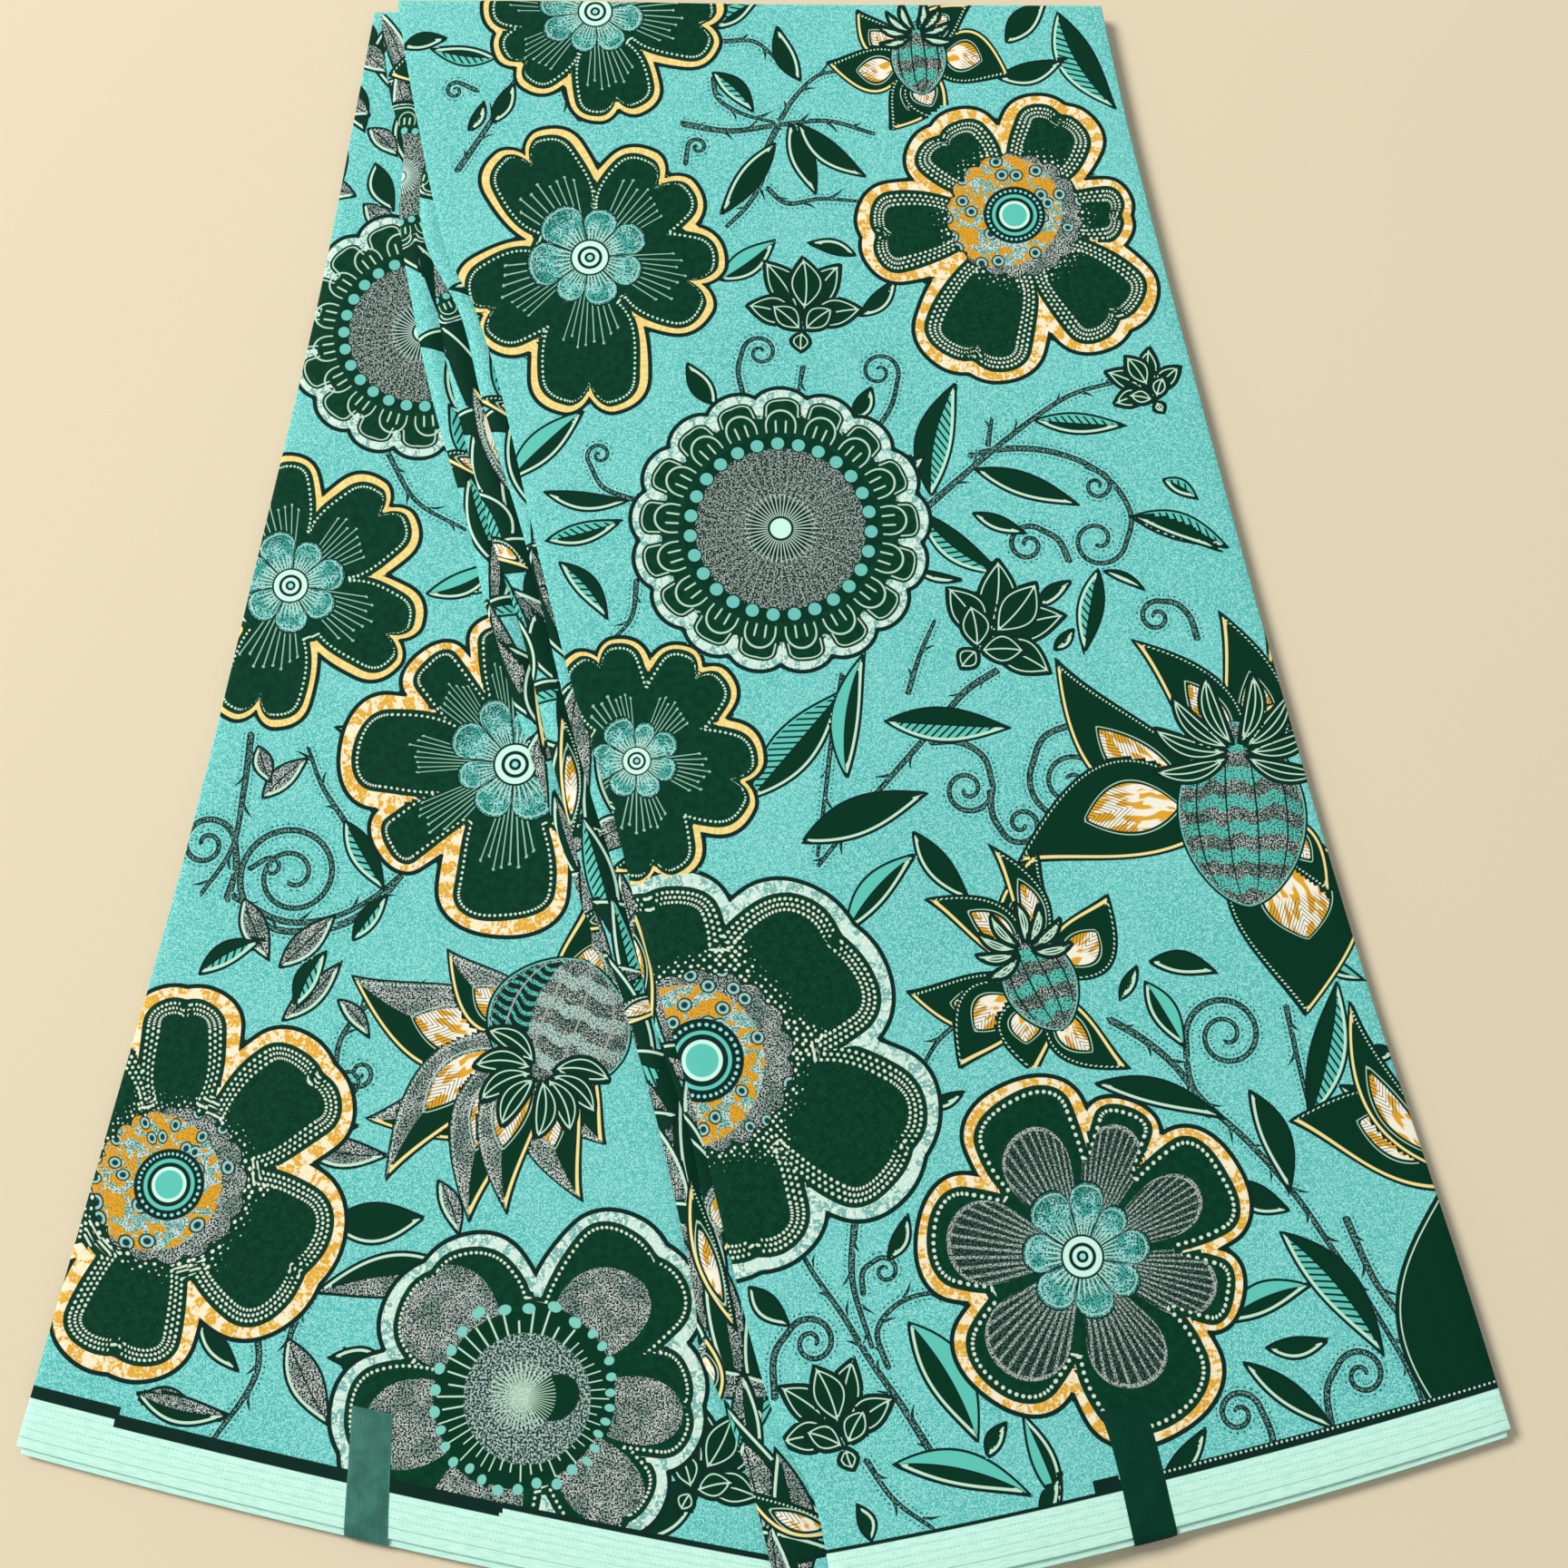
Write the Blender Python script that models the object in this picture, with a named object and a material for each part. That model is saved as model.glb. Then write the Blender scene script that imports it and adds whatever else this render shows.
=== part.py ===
# A folded length of ankara cloth, laid flat and fanned out, at its real size.
#
# The cloth is doubled selvedge to selvedge, so its top end is a fold and its lower end
# is two selvedges. The doubled length is then folded into leaves, and the leaves are
# fanned: a left leaf, a right leaf on top of it, and three pleats between them that
# show as narrow strips. Their hidden layers are one rounded solid, layered at the edges.
#
# Frame: +Z up, +X to the right, +Y towards the top fold, origin below the middle of the
# cloth on the surface that it lies on. Sizes are in millimetres until the mesh is made.

import math
from dataclasses import dataclass

import bpy
import bmesh
import numpy as np

MM = 0.001

# Driving sizes of the fan
CLOTH_WIDTH = 1168.0            # selvedge to selvedge, the 46 in width of the cloth
SIDE_LENGTH = CLOTH_WIDTH / 2   # from the top fold to the hem, along either side
LEFT_TOP = (-163.7, 316.2)      # where the left side starts at the top fold
RIGHT_TOP = (139.3, 317.2)
FOLD_TOP = (-153.7, 318.2)
LEFT_TURN = -10.31              # degrees that each line swings from straight down
RIGHT_TURN = 12.76
FOLD_TURN = 15.61
FOLD_LENGTH = 653.8             # the right leaf's fold runs to the point of the hems
HIDDEN_TOP = (-121.7, 316.6)    # the left leaf's hidden edge, under the pleats
HIDDEN_FOOT = (12.3, -317.4)
BENCH_TOP = (-101.7, 316.4)     # the pleats' hidden edge, under the right leaf
BENCH_FOOT = (70.3, -300.8)

# Layers, from the surface up
GAP = 0.3                       # between neighbours
LEAF_WALL = 1.2
PLEAT_WALL = 1.0
LOWER_WALL = 1.0                # the second selvedge, under a leaf's hem
INNER_LEFT = 3.6                # hidden layers under the left leaf
LEFT_UNDER = INNER_LEFT + GAP
LEFT_TOP_Z = LEFT_UNDER + LEAF_WALL
PLEAT_PITCH = PLEAT_WALL + GAP
RIGHT_UNDER = LEFT_TOP_Z + GAP + 3 * PLEAT_PITCH
RIGHT_EDGE_UNDER_TOP = 7.4      # the right leaf's underside at its right side, top end
RIGHT_EDGE_UNDER_FOOT = 5.0     # and at the hem
SETTLE_FROM = 54.0              # the right leaf comes down off the pleats between these
SETTLE_TO = 165.0               # two distances from its fold

# Edges
SIDE_INSET = 1.0                # hidden layers lie this far inside the leaves' sides
HEM_INSET = 1.6
LOWER_SHOWS = 2.4               # the second selvedge shows below the leaf's hem
LOWER_DEPTH = 70.0
LOWER_FROM_SIDE = 0.006         # shares of a leaf's width between which it lies
LOWER_LEFT_ENDS = 0.965
LOWER_RIGHT_STARTS = 0.23
STEP_RUN = 0.8                  # width of a step in the hidden layers
STEP_CLEAR = 0.4                # and how far past the edge above it the step starts
PLEAT_STARTS = 2.0              # a pleat starts and ends this far inside the fold line
PLEAT_STOPS = 1.0
HIDDEN_LAYERS = 4
GROOVE = 0.55                   # between the hidden layers, this far in
BULGE = 0.35                    # and each layer this far out
HEM_BULGE_LEFT = 3.2            # the hems bow downwards a little
HEM_BULGE_RIGHT = 4.2
END_ROUND = 1.0                 # length over which a wall's end is rounded off

# Tapes that hold the hems together
TAPE_WALL = 0.5
TAPE_LENGTH = 40.0              # up from the hem, on the face of the leaf
TAPE_WIDTH = 16.0
TAPE_FOOT = 0.6                 # the tape's lower end stops this high over the surface
TAPE_LEFT_MIDDLE = 0.452        # share of the hem's width, left to right
TAPE_RIGHT_MIDDLE = 0.467

# How far the sides bow sideways: share of the length, millimetres to the right
LEFT_BOW = ((0.0, 0.0), (0.08, 2.4), (0.22, 6.2), (0.40, 7.4), (0.62, 7.9), (0.80, 4.6), (1.0, 0.0))
RIGHT_BOW = ((0.0, 0.0), (0.10, -3.1), (0.30, -5.4), (0.50, -6.4), (0.72, -5.6), (0.90, -1.4), (1.0, 0.0))

# Fold edges: share of the fold line's length, millimetres to the right of the line
RIGHT_FOLD = (
    (0.0, 0.4), (0.04, -2.4), (0.09, -4.7), (0.145, -6.6), (0.18, -6.4), (0.22, -1.6), (0.40, -2.6),
    (0.47, -3.0), (0.55, -0.6), (0.63, -1.6), (0.74, 0.2), (0.79, -0.8), (0.91, 0.2), (0.945, 5.2),
    (1.0, 3.0),
)
INNER_PLEAT = (
    (0.0, 6.0), (0.09, 2.0), (0.125, -9.5), (0.165, -14.2), (0.22, -7.9), (0.28, -8.4), (0.37, -6.3),
    (0.50, -7.4), (0.60, -5.3), (0.68, -5.8), (0.74, -3.9), (0.785, -5.1), (0.83, 2.0), (1.0, 6.0),
)
MIDDLE_PLEAT = (
    (0.0, 9.0), (0.10, 3.0), (0.15, -8.0), (0.21, -16.2), (0.36, -18.6), (0.43, -16.7), (0.50, -17.9),
    (0.60, -17.0), (0.71, -14.3), (0.78, -15.4), (0.83, -17.8), (0.855, -20.6), (0.88, -17.8),
    (0.93, -15.1), (1.0, -16.0),
)
OUTER_PLEAT = (
    (0.0, -7.7), (0.065, -12.9), (0.095, -12.6), (0.14, -21.2), (0.21, -26.0), (0.27, -27.5),
    (0.36, -26.3), (0.39, -27.5), (0.50, -25.4), (0.57, -21.9), (0.61, -20.0), (0.68, -10.0),
    (0.78, -6.0), (1.0, -4.0),
)

# How finely each piece is divided
LEAF_STATIONS = 22
LEAF_COLUMNS = 12
PLEAT_STATIONS = 34
PLEAT_COLUMNS = 3
NOSE_STEPS = 4
LOWER_STATIONS = 4
LOWER_COLUMNS = 8
INNER_STATIONS = 20
HEM_STATIONS = 4
INNER_COLUMNS = 7               # across the hidden layers, under each leaf
BENCH_SHARE = 0.2               # of the right leaf's width at the hem, where the pleats end


def curve_through(table, share):
    """A smooth curve through a table's rows: cubic pieces whose slopes are its neighbours' mean."""
    rows = np.array(table, float)
    x, y = rows[:, 0], rows[:, 1]
    chord = np.diff(y) / np.diff(x)
    slope = np.concatenate([chord[:1], (chord[1:] + chord[:-1]) / 2, chord[-1:]])
    k = np.clip(np.searchsorted(x, share, side="right") - 1, 0, len(x) - 2)
    width = x[k + 1] - x[k]
    f = (share - x[k]) / width
    return (
        y[k] * (1 + 2 * f) * (1 - f) ** 2
        + slope[k] * width * f * (1 - f) ** 2
        + y[k + 1] * f * f * (3 - 2 * f)
        + slope[k + 1] * width * f * f * (f - 1)
    )


def ease(low, high, value):
    """From 0 at low to 1 at high, level at both ends."""
    f = np.clip((value - low) / (high - low), 0.0, 1.0)
    return f * f * (3 - 2 * f)


@dataclass(frozen=True)
class Line:
    """A long line down the cloth: where it starts, its swing, its length and how it bows."""

    start: tuple
    turn: float
    length: float
    bow: tuple = ((0.0, 0.0), (1.0, 0.0))

    @property
    def along(self):
        a = math.radians(self.turn)
        return np.array([math.sin(a), -math.cos(a)])

    @property
    def across(self):
        a = math.radians(self.turn)
        return np.array([math.cos(a), math.sin(a)])

    def at(self, share, aside=0.0):
        """Points at shares of the length, moved aside to the right by some millimetres."""
        share = np.asarray(share, float)
        sideways = curve_through(self.bow, np.clip(share, 0, 1)) + aside
        straight = np.asarray(self.start) + share[..., None] * self.length * self.along
        return straight + sideways[..., None] * self.across


def line_between(start, foot):
    """The straight line from one point to another."""
    run = np.subtract(foot, start)
    return Line(start, math.degrees(math.atan2(run[0], -run[1])), float(np.hypot(*run)))


LEFT_SIDE = Line(LEFT_TOP, LEFT_TURN, SIDE_LENGTH, LEFT_BOW)
RIGHT_SIDE = Line(RIGHT_TOP, RIGHT_TURN, SIDE_LENGTH, RIGHT_BOW)
FOLD_SIDE = Line(FOLD_TOP, FOLD_TURN, FOLD_LENGTH, RIGHT_FOLD)
FOLD_LINE = Line(FOLD_TOP, FOLD_TURN, FOLD_LENGTH)
HIDDEN_SIDE = line_between(HIDDEN_TOP, HIDDEN_FOOT)
BENCH_SIDE = line_between(BENCH_TOP, BENCH_FOOT)


def from_fold(points):
    """Each point's distance to the right of the fold line, and its share of that line's length."""
    away = points - np.asarray(FOLD_TOP)
    return away @ FOLD_LINE.across, np.clip(away @ FOLD_LINE.along / FOLD_LENGTH, 0, 1)


def right_underside(points):
    """Height of the right leaf's underside: level over the pleats, then down to its side."""
    aside, share = from_fold(points)
    low = RIGHT_EDGE_UNDER_TOP + (RIGHT_EDGE_UNDER_FOOT - RIGHT_EDGE_UNDER_TOP) * share
    return RIGHT_UNDER + (low - RIGHT_UNDER) * ease(SETTLE_FROM, SETTLE_TO, aside)


def level(height):
    """An underside at one height everywhere."""
    return lambda points: np.full(points.shape[:-1], height)


def end_shares(count, length, first=0.0, last=1.0):
    """Shares down a wall, close together where its two ends are rounded off, and the
    wall's fullness at each."""
    nose = END_ROUND / length
    into = np.array([0.0, 0.35, 1.0]) * nose
    middle = np.linspace(first + 3 * nose, last - 3 * nose, count)
    shares = np.concatenate([first + into, middle, last - into[::-1]])
    fullness = np.ones(len(shares))
    fullness[[0, -1]] = 0.3
    fullness[[1, -2]] = 0.78
    return shares, fullness


def new_piece(name, points, faces, colour, roughness):
    """An object from points in millimetres and faces, with outward normals and its own material."""
    shape = bmesh.new()
    verts = [shape.verts.new(p) for p in (np.asarray(points) * MM).tolist()]
    for face in faces:
        shape.faces.new([verts[i] for i in face])
    bmesh.ops.recalc_face_normals(shape, faces=shape.faces)
    mesh = bpy.data.meshes.new(name)
    shape.to_mesh(mesh)
    shape.free()
    mesh.shade_smooth()
    mesh.set_sharp_from_angle(angle=math.radians(40))
    mesh.materials.append(new_finish(name, colour, roughness))
    piece = bpy.data.objects.new(name, mesh)
    bpy.context.scene.collection.objects.link(piece)
    return piece


def new_finish(name, colour, roughness):
    """A plain cloth or tape finish."""
    finish = bpy.data.materials.new(name)
    finish.use_nodes = True
    surface = finish.node_tree.nodes["Principled BSDF"]
    surface.inputs["Base Color"].default_value = (*colour, 1.0)
    surface.inputs["Roughness"].default_value = roughness
    surface.inputs["Metallic"].default_value = 0.0
    return finish


def ring_faces(rings, size):
    """Faces round a row of closed rings, and across their first and last ones."""
    faces = []
    for r in range(rings - 1):
        for i in range(size):
            j = (i + 1) % size
            faces.append((r * size + i, r * size + j, (r + 1) * size + j, (r + 1) * size + i))
    for base in (0, (rings - 1) * size):
        for i in range(size // 2 - 1):
            faces.append((base + i, base + i + 1, base + size - 2 - i, base + size - 1 - i))
    return faces


def nose_points(end, across, way, height, half):
    """The round nose of a fold: points from its upper to its lower side, seen down the cloth."""
    turn = np.linspace(math.pi / 2, -math.pi / 2, NOSE_STEPS + 1)[1:-1]
    plan = end + way * half * np.cos(turn)[:, None] * across
    return np.column_stack([plan, height + half * np.sin(turn)])


def cloth_wall(name, plan, underside, wall, columns, shares, fullness, colour, roughness):
    """A wall of cloth whose two sides are folds, so each ring across it has round noses.

    plan gives the points of a row of columns at each share down the wall, and underside
    their height. A ring runs left to right on top, round the right nose, back underneath
    and round the left nose.
    """
    flat = plan(np.linspace(0, 1, columns + 1), shares)
    span = flat[:, -1] - flat[:, 0]
    span /= np.linalg.norm(span, axis=1)[:, None]
    middle = underside(flat) + wall / 2
    rings = []
    for row, across, height, full in zip(flat, span, middle, fullness):
        half = wall / 2 * full
        left = row[0] + across * wall / 2
        right = row[-1] - across * wall / 2
        inside = np.vstack([left, row[1:-1], right])
        top = np.column_stack([inside, height + half])
        bottom = np.column_stack([inside, height - half])
        left_nose = nose_points(left, across, -1, height[0], half)[::-1]
        right_nose = nose_points(right, across, 1, height[-1], half)
        middle_step = len(left_nose) // 2
        rings.append(np.vstack([left_nose[middle_step:], top, right_nose, bottom[::-1],
                                left_nose[:middle_step]]))
    faces = ring_faces(len(rings), len(rings[0]))
    return new_piece(name, np.vstack(rings), faces, colour, roughness)


def hem_droop(sides, shares, bulge):
    """How far the lower end bows downwards, at shares of the width and of the length."""
    return bulge * 4 * sides[None, :] * (1 - sides[None, :]) * shares[:, None] ** 8


def between(left, right, bulge=0.0):
    """A plan of columns between two lines, with the lower end bowed downwards."""
    def plan(sides, shares):
        start, end = left(shares), right(shares)
        points = start[:, None] * (1 - sides)[:, None] + end[:, None] * sides[:, None]
        points[..., 1] -= hem_droop(sides, shares, bulge)
        return points
    return plan


def part_of(plan, low, high):
    """The plan's columns between two shares of its width."""
    return lambda sides, shares: plan(low + (high - low) * sides, shares)


def left_plan():
    """Columns of the left leaf, from its side to the hidden edge under the pleats."""
    return between(LEFT_SIDE.at, HIDDEN_SIDE.at, HEM_BULGE_LEFT)


def right_plan():
    """Columns of the right leaf, from its fold to its right side."""
    return between(FOLD_SIDE.at, RIGHT_SIDE.at, HEM_BULGE_RIGHT)


def make_leaves():
    """The two leaves that show."""
    shares, fullness = end_shares(LEAF_STATIONS, SIDE_LENGTH)
    cloth_wall("left_leaf", left_plan(), level(LEFT_UNDER), LEAF_WALL, LEAF_COLUMNS, shares, fullness,
               (0.12, 0.50, 0.45), 0.62)
    cloth_wall("right_leaf", right_plan(), right_underside, LEAF_WALL, LEAF_COLUMNS, shares, fullness,
               (0.14, 0.54, 0.48), 0.62)


def make_pleats():
    """Three pleats under the right leaf, each showing as a strip along its fold."""
    shares, fullness = end_shares(PLEAT_STATIONS, FOLD_LENGTH, PLEAT_STARTS / FOLD_LENGTH,
                                  1 - PLEAT_STOPS / FOLD_LENGTH)
    for step, (name, edge) in enumerate((
        ("outer_pleat", OUTER_PLEAT), ("middle_pleat", MIDDLE_PLEAT), ("inner_pleat", INNER_PLEAT),
    )):
        side = Line(FOLD_TOP, FOLD_TURN, FOLD_LENGTH, edge)
        plan = between(side.at, BENCH_SIDE.at)
        underside = level(LEFT_TOP_Z + GAP + step * PLEAT_PITCH)
        cloth_wall(name, plan, underside, PLEAT_WALL, PLEAT_COLUMNS, shares, fullness,
                   (0.05, 0.30, 0.25), 0.62)


def hem_share(beyond):
    """Share of the side's length that lies beyond the hem by some millimetres."""
    return 1 + beyond / SIDE_LENGTH


def make_lower_selvedges():
    """The second selvedge of the doubled cloth, showing as a sliver below each hem."""
    shares, fullness = end_shares(LOWER_STATIONS, SIDE_LENGTH, hem_share(-LOWER_DEPTH),
                                  hem_share(LOWER_SHOWS))
    cloth_wall("left_lower_selvedge", part_of(left_plan(), LOWER_FROM_SIDE, LOWER_LEFT_ENDS),
               level(INNER_LEFT - LOWER_WALL), LOWER_WALL, LOWER_COLUMNS, shares, fullness,
               (0.60, 0.83, 0.75), 0.65)
    cloth_wall("right_lower_selvedge", part_of(right_plan(), LOWER_RIGHT_STARTS, 1 - LOWER_FROM_SIDE),
               lambda p: right_underside(p) - GAP - LOWER_WALL, LOWER_WALL, LOWER_COLUMNS, shares, fullness,
               (0.60, 0.83, 0.75), 0.65)


def inner_columns(shares):
    """Columns across the hidden layers, and the height of their top on each.

    Each column is a line down the cloth. The top steps up where the left leaf ends under
    the pleats, and again where the pleats end under the right leaf.
    """
    left = LEFT_SIDE.at(shares, SIDE_INSET)
    ledge = HIDDEN_SIDE.at(shares, STEP_CLEAR)
    ledge_up = HIDDEN_SIDE.at(shares, STEP_CLEAR + STEP_RUN)
    bench = BENCH_SIDE.at(shares, STEP_CLEAR)
    bench_up = BENCH_SIDE.at(shares, STEP_CLEAR + STEP_RUN)
    right = RIGHT_SIDE.at(shares, -SIDE_INSET)
    columns, heights = [], []
    for f in np.linspace(0, 1, INNER_COLUMNS):
        columns.append(left * (1 - f) + ledge * f)
        heights.append(np.full(len(shares), INNER_LEFT))
    for f in (0.0, 0.5, 1.0):
        columns.append(ledge_up * (1 - f) + bench * f)
        heights.append(np.full(len(shares), LEFT_TOP_Z))
    for f in np.linspace(0, 1, INNER_COLUMNS):
        place = bench_up * (1 - f) + right * f
        columns.append(place)
        heights.append(right_underside(place) - GAP)
    return np.stack(columns, 1), np.stack(heights, 1)


def inward_of(edge):
    """For each point of a closed outline, the level unit vector that points into it."""
    tangent = np.roll(edge, -1, 0) - np.roll(edge, 1, 0)
    tangent /= np.linalg.norm(tangent, axis=1)[:, None]
    inward = np.column_stack([tangent[:, 1], -tangent[:, 0]])
    towards = np.sum(inward * (edge.mean(0) - edge), axis=1)
    return inward * np.sign(towards)[:, None]


def layered_steps():
    """Down the side of the hidden layers: share of the height, and distance inwards.

    Each layer bulges out between two grooves, so the side reads as folds on each other.
    """
    steps = []
    for layer in range(HIDDEN_LAYERS - 1, -1, -1):
        for into_layer, inset in ((0.75, -BULGE), (0.25, -BULGE), (0.0, GROOVE)):
            steps.append(((layer + into_layer) / HIDDEN_LAYERS, inset))
    return steps


def make_inner_layers():
    """All the hidden layers as one solid: a stepped top, a flat base, and layered sides."""
    recess = hem_share(-LOWER_DEPTH - 1.5)
    shares = np.concatenate([
        np.linspace(SIDE_INSET / SIDE_LENGTH, recess, INNER_STATIONS),
        np.linspace(recess + STEP_RUN / SIDE_LENGTH, hem_share(-HEM_INSET), HEM_STATIONS),
    ])
    flat, height = inner_columns(shares)
    under_lower = np.arange(len(shares)) >= INNER_STATIONS
    under_leaf = np.ones(flat.shape[1], bool)
    under_leaf[INNER_COLUMNS:-INNER_COLUMNS] = False
    height = height - (under_lower[:, None] & under_leaf[None, :]) * (LOWER_WALL + GAP)
    flat[:, :INNER_COLUMNS, 1] -= hem_droop(np.linspace(0, 1, INNER_COLUMNS), shares, HEM_BULGE_LEFT)
    flat[:, -INNER_COLUMNS:, 1] -= hem_droop(np.linspace(BENCH_SHARE, 1, INNER_COLUMNS), shares,
                                             HEM_BULGE_RIGHT)

    rows, cols = height.shape
    grid = np.arange(rows * cols).reshape(rows, cols)
    points = [np.column_stack([flat.reshape(-1, 2), height.reshape(-1)])]
    faces = []
    for r in range(rows - 1):
        for c in range(cols - 1):
            faces.append((grid[r, c], grid[r, c + 1], grid[r + 1, c + 1], grid[r + 1, c]))

    rim = np.concatenate([grid[0, :-1], grid[:-1, -1], grid[-1, :0:-1], grid[:0:-1, 0]])
    edge = flat.reshape(-1, 2)[rim]
    tall = height.reshape(-1)[rim]
    inward = inward_of(edge)
    upper = rim
    count = len(rim)
    for step, (share, inset) in enumerate(layered_steps()):
        points.append(np.column_stack([edge + inward * inset, tall * share]))
        lower = rows * cols + step * count + np.arange(count)
        for i in range(count):
            j = (i + 1) % count
            faces.append((upper[i], upper[j], lower[j], lower[i]))
        upper = lower
    faces.append(tuple(upper))
    new_piece("inner_layers", np.vstack(points), faces, (0.10, 0.42, 0.37), 0.7)


def make_tape(name, plan, top, middle):
    """A strip of tape on the leaf's face, bent down over the hem and both selvedges.

    Its path runs down the leaf, turns over the edge and ends just above the surface. Each
    station of the path is a ring of six points, whose lower face is the leaf's own points
    moved out by the gap.
    """
    turn_at = LOWER_SHOWS + GAP - TAPE_WALL
    on_leaf = np.append(np.linspace(-TAPE_LENGTH, -1.0, 4), turn_at)
    shares = hem_share(on_leaf)
    hem = plan(np.array([0.0, 1.0]), np.array([1.0]))[0]
    half = TAPE_WIDTH / 2 / np.linalg.norm(hem[1] - hem[0])
    place = plan(np.array([middle - half, middle, middle + half]), shares)
    outward = place[-1] - place[-2]
    outward /= np.linalg.norm(outward, axis=1)[:, None]
    seat = top(place) + GAP
    foot = np.full(3, TAPE_FOOT)
    path = [(place[i], seat[i], place[i], seat[i] + TAPE_WALL) for i in range(len(shares))]
    inner = place[-1] + outward * TAPE_WALL
    outer = inner + outward * TAPE_WALL
    corner = inner + outward * TAPE_WALL / 2
    path.append((inner, seat[-1] - TAPE_WALL, corner, seat[-1] + TAPE_WALL * 0.8))
    path.append((inner, foot, outer, foot))
    rings = [
        np.vstack([np.column_stack([high, high_z]), np.column_stack([low, low_z])[::-1]])
        for low, low_z, high, high_z in path
    ]
    new_piece(name, np.vstack(rings), ring_faces(len(rings), 6), (0.004, 0.07, 0.05), 0.45)


def make_tapes():
    """One tape over each hem."""
    make_tape("left_tape", left_plan(), level(LEFT_TOP_Z), TAPE_LEFT_MIDDLE)
    make_tape("right_tape", right_plan(), lambda p: right_underside(p) + LEAF_WALL, TAPE_RIGHT_MIDDLE)


def main():
    for leftover in list(bpy.data.objects):
        bpy.data.objects.remove(leftover, do_unlink=True)
    make_inner_layers()
    make_leaves()
    make_pleats()
    make_lower_selvedges()
    make_tapes()


main()
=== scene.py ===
"""The looks of a folded length of ankara cloth, laid flat and fanned out.

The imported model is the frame. Each of its cloth solids is replaced by a thin sheet with the
same folds, and the wax print is worked out from short tables of flowers, leaves, vines and
pods. Numpy writes, at each corner of each face, how far that corner lies inside its motif
and where it lies on it. The shaders draw the print from those values, so every outline, dot
and stamen is as sharp as the cloth is near.

Lengths are in millimetres until a mesh is made.
"""

import logging
import math
from dataclasses import dataclass, replace
from enum import Enum
from typing import Callable, Optional, Sequence, Union

import bpy
import numpy as np
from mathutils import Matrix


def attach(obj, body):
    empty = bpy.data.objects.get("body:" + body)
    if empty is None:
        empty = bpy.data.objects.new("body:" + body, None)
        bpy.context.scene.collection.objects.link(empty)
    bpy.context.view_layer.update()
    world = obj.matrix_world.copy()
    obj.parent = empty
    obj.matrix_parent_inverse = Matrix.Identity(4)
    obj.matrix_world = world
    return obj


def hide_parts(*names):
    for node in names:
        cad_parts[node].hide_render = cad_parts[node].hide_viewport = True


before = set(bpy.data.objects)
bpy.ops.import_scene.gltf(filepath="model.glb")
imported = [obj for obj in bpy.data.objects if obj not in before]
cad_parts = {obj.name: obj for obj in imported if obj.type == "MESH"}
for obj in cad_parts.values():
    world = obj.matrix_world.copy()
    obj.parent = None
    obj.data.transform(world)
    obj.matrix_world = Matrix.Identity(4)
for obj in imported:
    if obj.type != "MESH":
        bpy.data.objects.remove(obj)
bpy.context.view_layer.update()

log = logging.getLogger("ankara")

MM = 0.001

# Driving sizes of the fan, as in the part's source
SIDE_LENGTH = 584.0
FOLD_LENGTH = 653.8
GAP = 0.3
LEAF_WALL = 1.2
PLEAT_WALL = 1.0
LOWER_WALL = 1.0
INNER_LEFT = 3.6
LEFT_UNDER = INNER_LEFT + GAP
LEFT_TOP_Z = LEFT_UNDER + LEAF_WALL
PLEAT_PITCH = PLEAT_WALL + GAP
PLEAT_CROWN = 1.4
RIGHT_UNDER = LEFT_TOP_Z + GAP + 3 * PLEAT_PITCH
RIGHT_EDGE_UNDER_TOP = 7.4
RIGHT_EDGE_UNDER_FOOT = 5.0
SETTLE_FROM = 54.0
SETTLE_TO = 165.0
HEM_BULGE_LEFT = 3.2
HEM_BULGE_RIGHT = 4.2
LOWER_SHOWS = 2.4
LOWER_DEPTH = 70.0
SIDE_INSET = 1.0
HEM_INSET = 1.6

Array = np.ndarray
Pair = tuple[float, float]
Triple = tuple[float, float, float]
Rows = Sequence[Pair]
Curve = Callable[[Array], Array]
Stations = tuple[Array, Array, Array]

# How far the sides and folds bow: share of the length, millimetres to the right
LEFT_BOW = ((0.0, 0.0), (0.08, 2.4), (0.22, 6.2), (0.40, 7.4), (0.62, 7.9), (0.80, 4.6), (1.0, 0.0))
RIGHT_BOW = ((0.0, 0.0), (0.10, -3.1), (0.30, -5.4), (0.50, -6.4), (0.72, -5.6), (0.90, -1.4), (1.0, 0.0))
RIGHT_FOLD = (
    (0.0, 0.4), (0.04, -2.4), (0.09, -4.7), (0.145, -6.6), (0.18, -6.4), (0.22, -1.6), (0.40, -2.6),
    (0.47, -3.0), (0.55, -0.6), (0.63, -1.6), (0.74, 0.2), (0.79, -0.8), (0.91, 0.2), (0.945, 5.2),
    (1.0, 3.0),
)
INNER_PLEAT = (
    (0.0, 6.0), (0.09, 2.0), (0.125, -9.5), (0.165, -14.2), (0.22, -7.9), (0.28, -8.4), (0.37, -6.3),
    (0.50, -7.4), (0.60, -5.3), (0.68, -5.8), (0.74, -3.9), (0.785, -5.1), (0.83, 2.0), (1.0, 6.0),
)
MIDDLE_PLEAT = (
    (0.0, 9.0), (0.10, 3.0), (0.15, -8.0), (0.21, -16.2), (0.36, -18.6), (0.43, -16.7), (0.50, -17.9),
    (0.60, -17.0), (0.71, -14.3), (0.78, -15.4), (0.83, -17.8), (0.855, -20.6), (0.88, -17.8),
    (0.93, -15.1), (1.0, -16.0),
)
OUTER_PLEAT = (
    (0.0, -7.7), (0.065, -12.9), (0.095, -12.6), (0.14, -21.2), (0.21, -26.0), (0.27, -27.5),
    (0.36, -26.3), (0.39, -27.5), (0.50, -25.4), (0.57, -21.9), (0.61, -20.0), (0.68, -10.0),
    (0.78, -6.0), (1.0, -4.0),
)


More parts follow.
